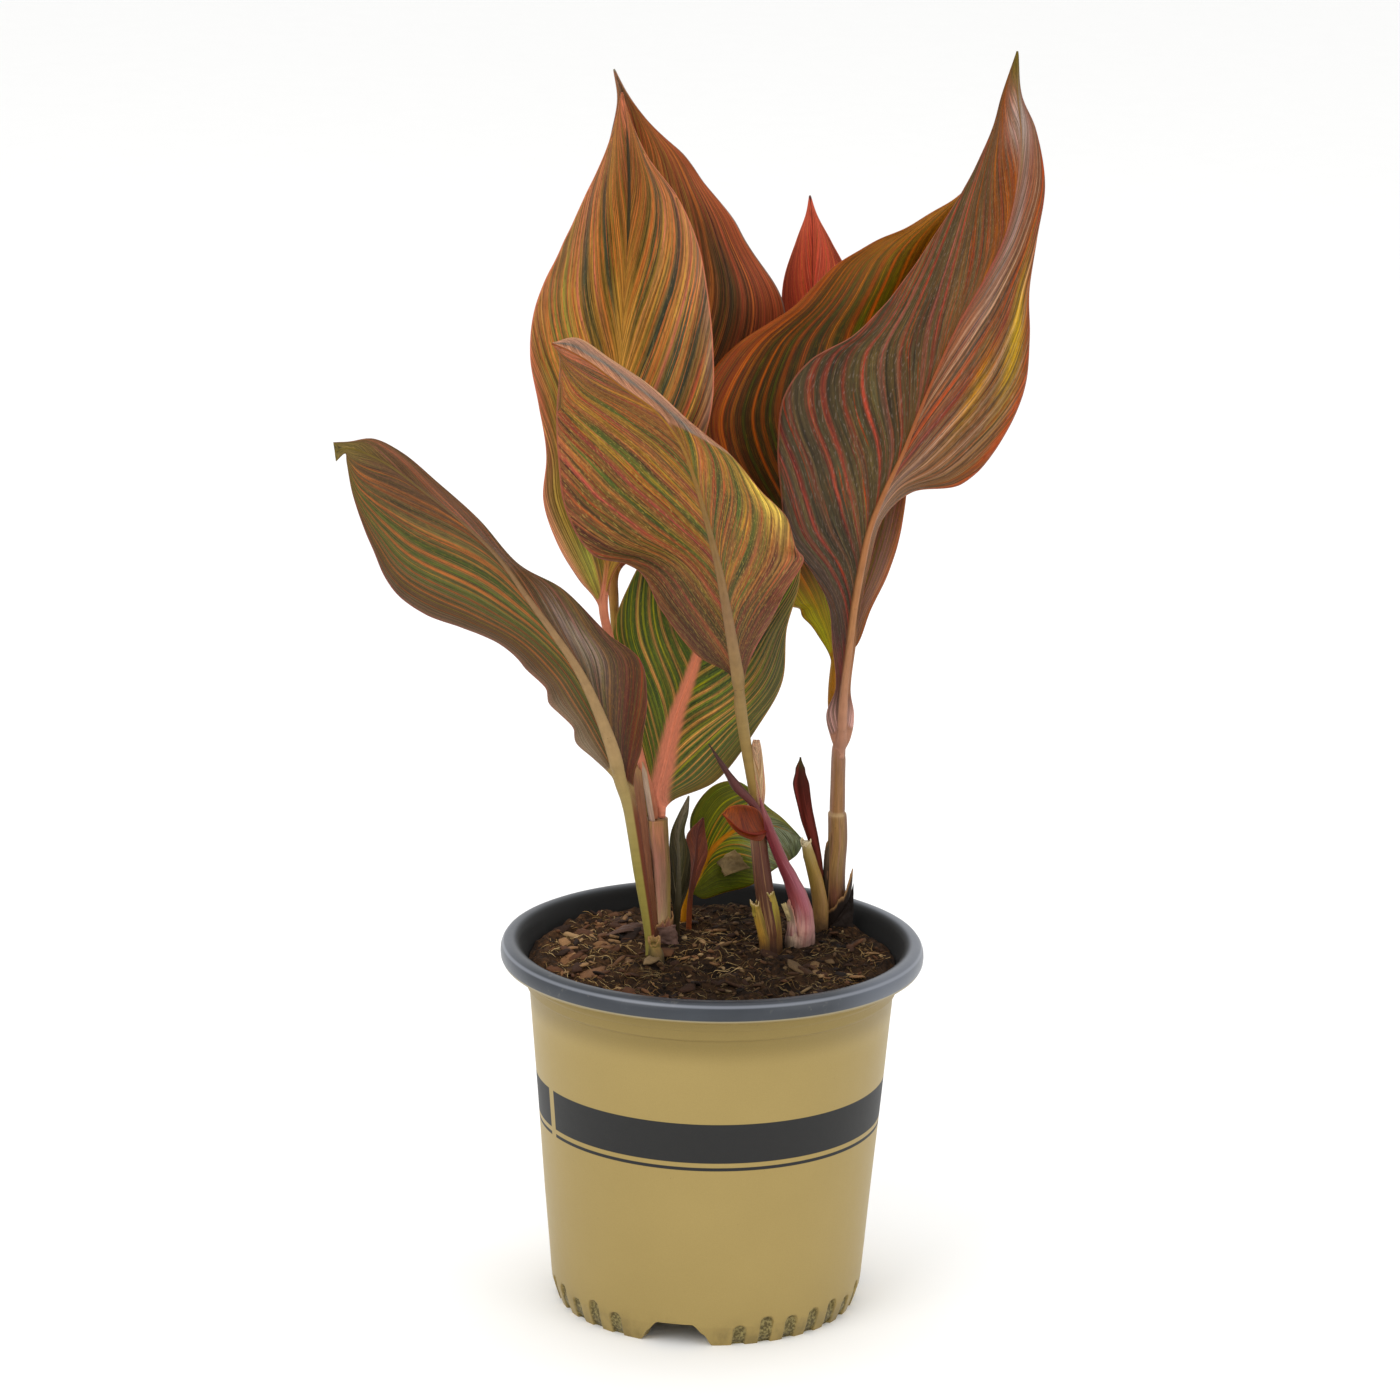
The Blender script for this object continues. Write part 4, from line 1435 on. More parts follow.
def right_stem():
    """the right stem and the dead sheaths round its foot"""
    stem = Parts()
    rows = [
        [50.5, 45, ROOT_Z, 4, 4], [50.5, 45, 153, 4, 4], [49.5, 45.2, 167, 4.4, 4.6],
        [50.5, 45.6, 179.5, 3.9, 4.6], [50, 46, 191.2, 3.7, 4.6], [50, 46, 191.6, 3, 4.4],
        [50, 46.8, 211, 2.9, 4.9], [50.1, 46.2, 218, 2.8, 4.4], [50.4, 45.4, 222, 2.2, 3.4],
        [50.7, 44.6, 226, 1.4, 2],
    ]
    zones = [
        (200, 225, 30, 16, "#b07c62", 0.5), (191.2, 270, 1.0, 400, "straw", 0.5),
        (165, 225, 14, 30, "mauve", 0.4), (180, 335, 50, 26, "#5c3626", 0.7),
        (178, 262, 16, 26, "ochre", 0.5), (157, 262, 6, 50, "#7a4a3a", 0.7),
        (228, 270, 10, 400, "pink", 0.7),
    ]
    stem.add_tube(rows, zones, wrap=[(153, 191, 210, 222, 0.35), (192, 215, 300, 292, 0.25)], seed=11)
    material = stalk_material(
        "stem_sheath.right",
        [
            (134, "brown"), (156, "#6e4a2e"), (170, "#86683c"), (190, "#8a683e"), (193, "#92683f"),
            (215, "#86603f"), (234, "#a87660"),
        ],
        134, 234, [("mauve", 0.5, 0.57), ("ochre", 0.5, 0.58), ("brown", 0.4, 0.63)], 25, edge="cream",
    )
    stem.piece("stem_right_stalk", material, "stem_right", "stem_sheath")
    old = Parts()
    old.add_sheath(
        x=50.0, y=45, inner=4.7, foot=150, top=lambda s: 168 + 17 * s, start=182, stop=238, torn=0.9,
        seed=12, thick=0.4, zones=[(172, 215, 10, 60, "slate", 0.5)],
    )
    old.add_sheath(
        x=50.8, y=45, inner=5.2, foot=ROOT_Z, top=lambda s: 149 + 17 * s ** 2 + 3 * s, start=188, stop=345,
        torn=1.2, flare=0.9, seed=13, zones=[(150, 270, 26, 300, "#1c1410", 0.95)],
    )
    old.add_sheath(
        x=50.5, y=45, inner=4.4, foot=ROOT_Z, top=lambda s: 158 - 8 * s, start=-20, stop=170, torn=2.0,
        flare=0.8, seed=14, zones=[(148, 60, 20, 300, "brown", 0.7)],
    )
    material = stalk_material(
        "stem_sheath.old", [(134, "shade"), (150, "dark"), (168, "#5a4a38"), (186, "#75654c")], 134, 188,
        [("dark", 0.6, 0.54), ("slate", 0.5, 0.57)], 26, rough=0.65, edge="tan", gloss=0.2,
    )
    old.piece("stem_right_old_sheath", material, slot="stem_sheath")


def pink_shoot():
    """the fat pink shoot, its thin dark spear and its curled leaf"""
    shoot = Parts()
    rows = [
        [35.5, 17, ROOT_Z, 5.2], [35.5, 17, 145.5, 6.2], [36, 16.5, 156.5, 4.6], [34, 16, 165, 4],
        [30.5, 14.8, 173.5, 3.2], [27, 13, 181, 2.6], [23.8, 11.2, 189, 2.4], [20.8, 9.6, 197, 2.1],
        [18, 8.6, 207.5, 0.35],
    ]
    zones = [
        (150, 262, 8, 60, "pink", 0.5), (147, 230, 8, 40, "cream", 0.5), (168, 310, 14, 30, "#a85c6c", 0.6),
        (185, 270, 16, 60, "#84343a", 0.4),
    ]
    shoot.add_tube(rows, zones, wrap=[(150, 200, 240, 262, 0.4)], seed=15)
    shoot.add_sheath(
        x=35.6, y=16.9, inner=5.4, foot=140, top=lambda s: 163 - 26 * (s - 0.3) ** 2, start=196, stop=262,
        torn=0.7, flare=0.5, seed=16, thick=0.35, zones=[(158, 215, 6, 60, "cream", 0.7)],
    )
    material = stalk_material(
        "shoot_pink.stalk",
        [
            (134, "straw"), (146, "#bc9488"), (154, "#b2807a"), (161, "#984c4a"), (170, "#7c3238"),
            (185, "#74292e"), (196, "#6c2628"), (208, "#8a4a48"),
        ],
        134, 208, [("#7c2c34", 0.6, 0.54), ("#b8808a", 0.35, 0.6)], 27, rough=0.34, edge="pink", gloss=0.4,
    )
    shoot.piece("shoot_pink_stalk", material, "shoot_pink", "shoot_pink")
    spear = Parts()
    rows = [
        [19.6, 9.2, 199, 1.2], [14.5, 6.8, 206.5, 1.6], [9, 5.5, 212.5, 2], [4, 4.6, 220, 1.2],
        [-3, 4, 231, 0.3],
    ]
    spear.add_tube(rows, [(231, 0, 4, 900, "dark", 0.9)], sides=28, step=0.6, flat=False, seed=17)
    material = stalk_material(
        "shoot_pink.spear", [(196, "#7a3c38"), (206, "#5e2c2a"), (220, "#4b2622"), (232, "dark")], 196, 232,
        [("dark", 0.4, 0.57)], 28, rough=0.36,
    )
    spear.piece("shoot_dark_spear", material, slot="shoot_pink")
    curled = dict(
        stalk=[[21.5, 9.8, 193.5, 1]],
        blade=[
            [[16.5, 4.6, 193.5], [17.5, 6, 203], [19, 6.5, 190.5]],
            [[11, 2.5, 195.5], [11.5, 3.4, 206], [11, 3.4, 193]],
            [[6, 1.5, 200], [6, 2, 205.5], [6.5, 2, 197.5]], [3, 1.5, 202.5],
        ],
        upper=False, camber=-0.1, wave=0, waves=1, phase=0, slot="shoot_pink", columns=16, step=0.5,
        ripple=0.1, veins=repeat((0.5, 0.9, 0.8, 1, 1)), zones=[(0.9, 0, 0.2, 3, "salmon", 0.4)],
    )
    look = dict(
        seed=13, upper=False, edge="salmon", rib_wide=1.0, flare=0.1, fleck="coral", fine=30, light=0.6,
        rich=1.2, rib=[(-0.7, "#8a3a34"), (0.4, "#7c2f26"), (1.0, "#8a3a30")],
        streaks=[("#6c2a20", 0.6, 0.55), ("coral", 0.4, 0.6)],
        sides=repeat(
            (
                [(-0.8, "#7a3428"), (0.3, "#843c28"), (1.0, "#a85c44")],
                [(0.1, 0.1, "#8e4430"), (0.5, 0.1, "#7a2e22"), (0.75, 0.06, "coral", 0.4)],
            ),
        ),
    )
    leaf_piece("shoot_pink", curled, leaf_material("shoot_pink.curled", look), "shoot_curled_leaf")


def purple_spear():
    """the rolled purple leaf behind the stub"""
    spear = Parts()
    rows = [
        [43.5, 43, ROOT_Z, 1.5, 1.5], [43.5, 43, 161, 1.6, 1.6], [41.5, 43, 176, 2, 1.8],
        [37.5, 43, 191, 2.8, 1.9], [35, 42.5, 203.5, 3.3, 1.7], [34.5, 42, 210, 2.0, 1.2],
        [34.5, 42, 215.5, 0.35, 0.3],
    ]
    zones = [(200, 225, 14, 20, "#8a3a34", 0.7), (214, 0, 3, 900, "moss", 0.6)]
    spear.add_tube(rows, zones, sides=40, wrap=[(165, 212, 238, 252, 0.45)], seed=18)
    material = stalk_material(
        "shoot_wine.spear",
        [(134, "brown"), (160, "#54281c"), (185, "#541d14"), (200, "#48160d"), (216, "#3a1e14")], 134, 216,
        [("#6e2a20", 0.6, 0.54)], 29, rough=0.4, gloss=0.08,
    )
    spear.piece("spear_purple_leaf", material, "spear_purple", "shoot_wine")


def yellow_stub():
    """the cut stub of an old stem, its top torn open"""
    stub = Parts()
    rows = [
        [44, 37.4, ROOT_Z, 3.1], [44, 37.4, 153.5, 3.2], [42, 37.6, 164.5, 3], [39.5, 38, 173, 2.6],
        [37.5, 38.4, 181, 1.8],
    ]
    zones = [(170, 235, 14, 40, "petiole", 0.5), (181, 0, 2, 900, "cream", 0.8)]
    stub.add_tube(rows, zones, sides=40, seed=19)
    stub.add_sheath(
        x=38.5, y=38.2, inner=1.7, foot=174, top=lambda s: 180.5 + 1.0 * sin(11 * s), start=90, stop=440,
        torn=0.7, flare=0.2, lean=(-0.16, 0.04), seed=20, thick=0.3, rows=14, columns=80,
        zones=[(182, 0, 3, 900, "straw", 0.8)],
    )
    material = stalk_material(
        "shoot_yellow.stub", [(134, "#7a5a40"), (152, "#8c683a"), (170, "#907030"), (183, "#a8945c")], 134,
        184, [("petiole", 0.5, 0.57), ("tan", 0.5, 0.58)], 30, edge="cream",
    )
    stub.piece("stub_yellow_stalk", material, "stub_yellow", "shoot_yellow")


def front_stub():
    """the dark stub in front of the left stem"""
    front = Parts()
    rows = [[-22, -10.5, ROOT_Z, 2.8], [-22, -10.5, 146.5, 2.8], [-23.4, -8.6, 151, 2.2]]
    front.add_tube(rows, [(149, 290, 4, 60, "ochre", 0.5)], sides=36, step=0.6, seed=21, rough=0.15)
    front.add_sheath(
        x=-23.2, y=-8.8, inner=2.0, foot=146, top=lambda s: 152.5 + sin(8 * s), start=0, stop=340, torn=1.6,
        flare=0.3, seed=22, thick=0.35, rows=14, columns=70, zones=[(153, 0, 2, 900, "tan", 0.6)],
    )
    material = stalk_material(
        "shoot_yellow.front", [(134, "dark"), (146, "#5c5020"), (153, "#857236")], 134, 154,
        [("dark", 0.6, 0.55)], 31, rough=0.5, edge="tan",
    )
    front.piece("stub_front_stalk", material, "stub_front", "shoot_yellow")


# ---- pot ----
# outlines as (radius, height)
OUTSIDE = [[60.1, 0], [61.2, 3], [62.9, 8.5], [73.3, WALL_TOP]]
COLLAR = [
    [73.6, 131.8], [74.4, 132.4], [74.6, 133.2], [74.7, 136], [74.9, 136.4], [75.4, 136.9], [75.5, 137.6],
    [75.6, 141], [75.8, 142.6], [76.4, 143.4], [78.6, 143.9], [81.4, 144.1], [82.1, 143.4], [82.6, 142.5],
    [83.4, 142.2], [84.2, 142.8], [84.8, 144], [85, 145.6], [84.9, 147.4], [84.4, 149], [83.5, 150.3],
    [82.2, 150.9], [80.6, 151], [79, 150.7], [77.8, 150], [76.9, 148.8], [76.1, 146.5], [75.2, 143.4],
    [74.2, 141], [74.05, 138], [74, 134.6], [73.4, 132.6], [71.8, 131],
]
INSIDE = [[62, 17], [59.5, 14.5], [59.4, FLOOR_Z]]


def notch_height(tangent):
    """height of a drain arch at a distance from its middle"""
    x = np.abs(tangent)
    crown = NOTCH_HIGH - 0.2 * smooth(x, 5, 8)
    side = crown + (NOTCH_STEP - crown) * smooth(x, 7, 11.6)
    foot = NOTCH_STEP * (1 - smooth(x, 11.2, 15.4)) ** 1.3
    return np.where(x < 7, NOTCH_HIGH, np.where(x < 11.2, side, foot))


def pot_angles():
    """directions of the wall's columns, finer at the arches and recesses"""
    angles = list(np.arange(-180, 180, 2.0))
    for k in range(NOTCHES):
        middle = NOTCH_AT + NOTCH_APART * k
        angles += list(middle + np.arange(-15, 15.1, 0.5))
        for i in range(RECESSES):
            at = middle + RECESS_FIRST + RECESS_APART * i
            angles += [at + side * off for off in (1.1, 1.8, 2.3, 2.6, 2.9, 3.3) for side in (-1, 1)] + [at]
    angles = np.sort((np.array(angles) + 180) % 360 - 180)
    keep = [angles[0]]
    for a in angles[1:]:
        if a - keep[-1] > 0.2:
            keep.append(a)
    return np.radians(np.array(keep))


def wall_rings(a):
    """the wall's rings from the lower edge up, how far each point is in a recess, and that edge"""
    arch = np.zeros_like(a)
    recesses = []
    for k in range(NOTCHES):
        off = (np.degrees(a) - NOTCH_AT - NOTCH_APART * k + 180) % 360 - 180
        high = np.where(np.abs(off) < NOTCH_HALF, notch_height(np.radians(off) * NOTCH_R), 0)
        arch = np.maximum(arch, high)
        for i in range(RECESSES):
            turn = (off - RECESS_FIRST - RECESS_APART * i + 180) % 360 - 180
            recesses.append((np.radians(turn) * RECESS_R, 9 + 3 * abs(sin(1.3 * i))))
    rings, hollows = [], []
    for level in np.concatenate([np.linspace(0, 1, 34)[:-1], 1 + np.linspace(0, 1, 10) ** 1.2]):
        if level <= 1:
            z = arch + (FOOT_TOP - arch) * level
        else:
            z = np.full_like(a, FOOT_TOP + (WALL_TOP - FOOT_TOP) * (level - 1))
        r = np.interp(z, [h for _, h in OUTSIDE], [out for out, _ in OUTSIDE])
        floor = np.maximum(RECESS_FLOOR - 0.09 * np.maximum(0, 6 - z) ** 2, 58.6)
        hollow = np.zeros_like(a)
        for tangent, high in recesses:
            dome = np.maximum(0, z - (high - RECESS_WIDE / 2))
            depth = smooth(RECESS_WIDE / 2 - np.sqrt(tangent ** 2 + dome ** 2), -0.15, 0.45)
            hollow = np.maximum(hollow, depth)
            r = np.where(depth > 0, r * (1 - depth) + np.minimum(r, floor) * depth, r)
        wave = 0.16 * field(np.stack([np.cos(a) * 2.2, np.sin(a) * 2.2, z / 45], -1), 5) * smooth(z, 18, 40)
        rings.append((r + wave * (1 - smooth(z, 115, 130)), z))
        hollows.append(hollow)
    return rings, hollows, arch


def pot_mesh():
    """the shell from the foot up, over the lip and down to the floor, then its under side"""
    a = pot_angles()
    columns = len(a)
    rings, hollows, arch = wall_rings(a)
    shell = circles(a, rings + COLLAR + INSIDE)
    foot_ring = [(57.5, arch), (54.8, arch), (56.4, np.maximum(arch, 3.6))]
    under = circles(a, foot_ring + [(57.6, np.maximum(arch, UNDER_Z)), (40.0, UNDER_Z)])
    middle = len(shell) * columns
    start = middle + 1
    centre = start + len(under) * columns
    faces = grid_faces(len(shell), columns, closed=True).tolist() + fan(middle - columns, columns, middle)
    faces += [[j, start + j, start + (j + 1) % columns, (j + 1) % columns] for j in range(columns)]
    faces += grid_faces(len(under), columns, start, closed=True, flip=True).tolist()
    faces += fan(centre - columns, columns, centre, flip=True)
    grids = shell.reshape(-1, 3), under.reshape(-1, 3)
    points = np.concatenate([grids[0], [[0, 0, FLOOR_Z]], grids[1], [[0, 0, UNDER_Z]]])
    sunk = np.zeros(len(points))
    sunk[:len(hollows) * columns] = np.concatenate(hollows)
    return points, faces, sunk


def gold_paint(g, height, turn, cloud, flake):
    """gold, darker under the collar, with scuffs, dirt near the foot and rough recess floors"""
    grime = g.noise(g.vector(turn * 0.12, height * 0.07, 3), 1, 4, 0.6)
    gold = g.mix("#95804a", "#a58f56", cloud)
    gold = g.mix(gold, "#7a6733", g.step(height, 120, 130) * 0.6)
    gold = g.shade(gold, flake * 0.16 + 0.92)
    scuff = g.noise(g.vector(turn * 1.4, height * 0.35, 9), 1, 2)
    gold = g.mix(gold, "#6a5a34", g.step(scuff, 0.72, 0.76) * g.step(grime, 0.5, 0.62) * 0.7)
    low_dirt = (1 - g.step(height, 2, 15)) * g.step(grime, 0.42, 0.62)
    gold = g.mix(gold, "#54492c", low_dirt * 0.35)
    speckle = g.noise(g.place(), 900, 2, 0.6)
    return g.mix(gold, g.mix("#3c3518", "#8c8050", g.step(speckle, 0.4, 0.66)), g.attribute("sunk") * 0.85)


def print_mask(g, height, turn):
    """1 on the printed band and line, worn in places, 0 in the seam between their ends"""
    gap = g.band(turn, *SEAM, 0.12)
    printed = g.band(height, *BAND, 0.12) + g.band(height, *LINE, 0.12)
    wobble = g.noise(g.vector(turn * 6, height * 4, 1), 1, 2)
    return printed * (1 - gap) * (1 - g.step(wobble, 0.74, 0.78) * 0.35)


def bare_plastic(g, x, height, radius, lip, dusty):
    """dusty black plastic, darker inside, lighter at the sides and on the lip's two edges"""
    black = g.mix("#20242a", "#343940", g.noise(g.place(), 60, 4, 0.6))
    black = g.mix(black, "#6d6a62", g.step(dusty, 0.62, 0.75) * 0.3)
    black = g.mix("#080807", black, lip)
    black = g.mix(black, "#5a5f68", g.step(abs(x), 0.055, 0.085) * g.step(radius, 78.5, 81) * 0.95)
    outer = g.step(radius, 82.2, 83.2)
    black = g.mix(black, "#868a93", g.band(height, 148.9, 149.9, 0.35) * outer * 0.55)
    return g.mix(black, "#a6a08a", g.band(height, 142.0, 143.7, 0.25) * outer * 0.85)


def pot_material():
    """satin gold with the printed stripes outside, bare black plastic on the lip and inside"""
    g = Graph("pot_gold", Specular_IOR_Level=0.4, Coat_Weight=0.08, Coat_Roughness=0.25)
    x, _, z = (g.node("SeparateXYZ", {0: g.place()}, i) for i in range(3))
    height = z * 1000
    radius, turn, is_black = (g.attribute(key) for key in ("radius", "turn", "black"))
    cloud = g.noise(g.place(), 14, 3, 0.55)
    flake = g.noise(g.place(), 2600, 1, 0.5)
    dusty = g.noise(g.place(), 240, 3, 0.6)
    lip = g.step(radius, 77.5, 80.5)
    printed = print_mask(g, height, turn)
    outside = g.mix(gold_paint(g, height, turn, cloud, flake), g.mix("#0b0b0a", "#121110", cloud), printed)
    colour = g.mix(outside, bare_plastic(g, x, height, radius, lip, dusty), is_black)
    g.plug(g.shader.inputs["Metallic"], (1 - is_black) * (1 - printed) * 0.45)
    rough = 0.4 + cloud * 0.08 + printed * 0.16 - is_black * (lip * 0.5 - 0.4) + dusty * 0.06
    scratch = g.noise(g.vector(turn * 0.4, height * 2.2, 4), 1, 2)
    return g.finish(colour, rough, g.bump(flake * 0.2 + scratch * 0.5, 0.00008))


def make_pot():
    """the pot, its black parts told from the gold ones by their place on the outline"""
    points, faces, sunk = pot_mesh()
    radius = np.hypot(points[:, 0], points[:, 1])
    turn = np.degrees(np.arctan2(points[:, 1], points[:, 0]))
    z = points[:, 2]
    inner = (z > 8) & (radius < np.interp(z, [8, 131, 134, 141, 144], [61.0, 72.6, 74.6, 74.9, 75.9]))
    lip = (z > 142.9) & (radius > 75.9)
    black = np.where(inner | lip | ((z > 143) & (radius > 75)), 1.0, 0.0)
    piece = make(
        "pot_shell", points, faces, pot_material(), "pot", "pot_gold", radius=radius, turn=turn,
        black=black, sunk=sunk,
    )
    piece.data.set_sharp_from_angle(angle=radians(50))


# ---- compost ----
def relief(x, y):
    """the compost's gentle rises and falls"""
    return (1.0 * np.sin(0.11 * x + 1.3) * np.cos(0.13 * y - 0.4) + 0.8 * np.sin(0.27 * x - 0.19 * y)
            + 0.5 * np.sin(0.45 * y + 0.3 * x + 2))


def ground(x, y):
    """height of the compost's crumbly surface"""
    p = np.stack([x, y, 0 * x], -1)
    rough = 0.9 * field(p / 4.5, 1) + 0.6 * field(p / 2.1, 2) + 0.4 * field(p / 1.0, 3)
    return SOIL_Z - 0.6 + relief(x, y) + rough


def soil_mesh():
    """crumbly top, its edge let down to the wall, and the body that fills the pot"""
    sides, rings = 360, 150
    a = np.linspace(0, 2 * pi, sides, endpoint=False)
    r = np.maximum(SOIL_R * np.linspace(0, 1, rings)[::-1][:, None] ** 0.85 + 0 * a, 0.02)
    x, y = r * np.cos(a), r * np.sin(a)
    fall = smooth(r, 70, SOIL_R)
    z = ground(x, y)
    top = np.stack([x, y, z * (1 - fall) + (SOIL_EDGE_Z + 0.35 * (z - SOIL_Z)) * fall], -1)
    body = circles(a, [(58.8, 9.4), (58.9, 15), (61.2, 17.6), (71, 130.4), (73.2, 135.2)])
    rows = rings + len(body)
    count = rows * sides
    crown = float(ground(np.array(0.0), np.array(0.0)))
    middles = [[0, 0, body[0, 0, 2]], [0, 0, crown]]
    points = np.concatenate([body.reshape(-1, 3), top.reshape(-1, 3), middles])
    faces = grid_faces(rows, sides, closed=True).tolist()
    return points, faces + fan(0, sides, count, flip=True) + fan(count - sides, sides, count + 1)


def damp_side(g):
    """0 on the left, 1 from the pot's middle on, where the compost is wetter"""
    return g.step(g.node("SeparateXYZ", {0: g.place()}), -0.045, 0.0)


def soil_material():
    """dark clumps, paler crumbs and grit"""
    g = Graph("compost", Roughness=0.95, Specular_IOR_Level=0.12)
    clump = g.noise(g.place(), 90, 4, 0.65)
    crumb = g.noise(g.place(), 480, 4, 0.7)
    grit = g.noise(g.place(), 1500, 2, 0.6)
    colour = g.mix("#1f150e", "#4c3420", g.step(clump, 0.34, 0.66))
    colour = g.mix(colour, "#6d4a2c", g.step(crumb, 0.54, 0.7) * 0.75)
    colour = g.mix(colour, "#17110c", (1 - g.step(crumb, 0.34, 0.46)) * 0.8)
    colour = g.mix(colour, "#a5855c", g.step(grit, 0.68, 0.78) * 0.5)
    colour = g.shade(colour, 0.95 - damp_side(g) * 0.42)
    return g.finish(colour, None, g.bump(crumb * 0.7 + grit * 0.4, 0.0012))


def make_soil():
    """the compost as one closed piece"""
    make("compost_surface", *soil_mesh(), soil_material(), "soil", "compost")


# where the stalks stand: x, y and radius
HOLES = [
    [-21, 20, 5], [23.6, 10, 5.2], [50.5, 45, 5.1], [-25, -3, 2], [35.5, 17, 6.2], [43.5, 43, 1.6],
    [44, 37.4, 3.3], [-14.5, 26, 1.3], [-9.5, 34.5, 1.2], [-11.5, 41.5, 1.4], [-22, -10.5, 2.8],
]


def scatter(random, margin=3.0):
    """a random place on the compost that is clear of the stalks"""
    while True:
        a = random.uniform(0, 2 * pi)
        r = (STREWN_R - margin) * random.uniform(0, 1) ** 0.5
        x, y = r * cos(a), r * sin(a)
        if all((x - hx) ** 2 + (y - hy) ** 2 > (hr + 1.5) ** 2 for hx, hy, hr in HOLES):
            return x, y


def bark_chip(random, x, y, size):
    """an irregular splinter of bark with bevelled, broken edges"""
    count = 9
    a = np.sort(random.uniform(0, 2 * pi, count)) * 0.5 + np.linspace(0, 2 * pi, count, endpoint=False) * 0.5
    wide = random.uniform(0.28, 0.7)
    outline = np.stack([np.cos(a), wide * np.sin(a)], 1) * random.uniform(0.75, 1.15, (count, 1)) * size
    thick = random.uniform(0.2, 0.45) + 0.05 * size
    layers = []
    for scale, lift in ((0.55, -thick), (0.95, -0.6 * thick), (1.0, 0.2 * thick), (0.8, thick)):
        jitter = random.uniform(-0.12, 0.12, (count, 1)) * thick
        layers.append(np.column_stack([outline * scale, np.full((count, 1), lift) + jitter]))
    points = np.concatenate(layers + [[[0, 0, -thick]], [[0, 0, thick * random.uniform(0.8, 1.2)]]])
    faces = grid_faces(4, count, closed=True).tolist()
    faces += fan(0, count, 4 * count, flip=True) + fan(3 * count, count, 4 * count + 1)
    turn = Matrix.Rotation(random.uniform(0, 2 * pi), 3, "Z") @ Matrix.Rotation(random.normal(0, 0.3), 3, "X")
    turn = turn @ Matrix.Rotation(random.normal(0, 0.28), 3, "Y")
    points = points @ np.array(turn).T
    z = float(ground(np.array(x), np.array(y)))
    return points + [x, y, z + 0.35 * thick + 0.3], faces


def fibre(random, x, y, length, radius):
    """a thin curved thread lying on the compost"""
    steps = 7
    heading = random.uniform(0, 2 * pi)
    bend = random.normal(0, 0.6) / steps
    rise = random.uniform(0.0, 0.25)
    line = []
    px, py = x, y
    for i in range(steps):
        z = float(ground(np.array(px), np.array(py)))
        arch = rise * length * 0.3 * sin(pi * i / (steps - 1))
        line.append([px, py, z + 0.25 + arch])
        heading += bend + random.normal(0, 0.1)
        px += length / steps * cos(heading)
        py += length / steps * sin(heading)
    line = np.array(line)
    inside = np.hypot(line[:, 0], line[:, 1]) < FIBRE_R
    if not inside.all():
        return None
    side = unit(np.cross(np.gradient(line, axis=0), [0, 0, 1]))
    up = np.cross(side, unit(np.gradient(line, axis=0)))
    taper = radius * np.array([0.5, 1, 1, 1, 1, 0.9, 0.4])[:, None]
    corners = [(1, 0), (-0.5, 0.87), (-0.5, -0.87)]
    rings = np.stack([line + side * taper * cx + up * taper * cy for cx, cy in corners], 1)
    points = rings.reshape(-1, 3)
    faces = grid_faces(steps, 3, closed=True).tolist()
    faces += [[2, 1, 0], [(steps - 1) * 3, (steps - 1) * 3 + 1, (steps - 1) * 3 + 2]]
    return points, faces


# fallen bits of sheath lying on the compost or caught between the stalks: four corners and how far they bulge
SCRAPS = [
    ([[-44, 17, 145.8], [-27, 24, 145.6], [-26.5, 27.5, 147.6], [-36, 27, 147]], 1.0),
    ([[-21, 11.4, 145], [-13.4, 12, 144.4], [-15.1, 13, 152.6], [-22, 12, 151.2]], 1.2),
    ([[27.6, 10, 162.6], [30.4, 10, 155.4], [31.8, 10.4, 156.2], [29.4, 10.4, 163.4]], 0.5),
    ([[4.8, 41.5, 164.5], [15, 42, 168.1], [8.7, 43, 175.7], [1.4, 42, 170.4]], -1.6),
    ([[57.5, 38.5, 143.5], [47.4, 38, 143], [55.6, 38.6, 155], [57.4, 39.4, 164]], 0.8),
]


def scrap(corners, bulge, seed, rows=26, columns=14, thick=0.35):
    """a thin curled piece between four corners, its edges frayed"""
    t, f = np.linspace(0, 1, rows)[:, None], np.linspace(0, 1, columns)[None]
    foot_left, foot_right, top_right, top_left = (np.array(c, float) for c in corners)
    place = np.stack([f * 5 + 0 * t, t * 7 + 0 * f, 0 * t * f + seed], -1)
    fray_t = t + 0.05 * field(place * 1.7, 2) * (t > 0.9)
    fray_f = f + 0.06 * field(place * 1.9, 3) * ((f < 0.05) | (f > 0.95))
    foot = foot_left + (foot_right - foot_left) * fray_f[..., None]
    top = top_left + (top_right - top_left) * fray_f[..., None]
    flat = foot + (top - foot) * fray_t[..., None]
    normal = unit(np.cross(foot_right - foot_left, top_left - foot_left))
    lift = bulge * np.sin(pi * f) + 0.35 * field(place, 4)
    front = flat + normal * (lift + thick / 2)[..., None]
    back = flat + normal * (lift - thick / 2)[..., None]
    return np.concatenate([front.reshape(-1, 3), back.reshape(-1, 3)]), sheet_faces(rows, columns)


def litter_material(name, colours, rough=0.85):
    """each bit picks its own colour from the list; darker where the compost is damp"""
    g = Graph(name, Roughness=rough, Specular_IOR_Level=0.2)
    colour, _ = g.ramp(g.attribute("pick"), [(i / (len(colours) - 1), c) for i, c in enumerate(colours)])
    grain = g.noise(g.place(), 700, 4, 0.7)
    damp = damp_side(g) * g.step(g.noise(g.place(), 45, 2), 0.36, 0.56)
    colour = g.shade(colour, (grain * 1.1 + 0.45) * (1 - damp * 0.7))
    return g.finish(colour, None, g.bump(grain, 0.0005))


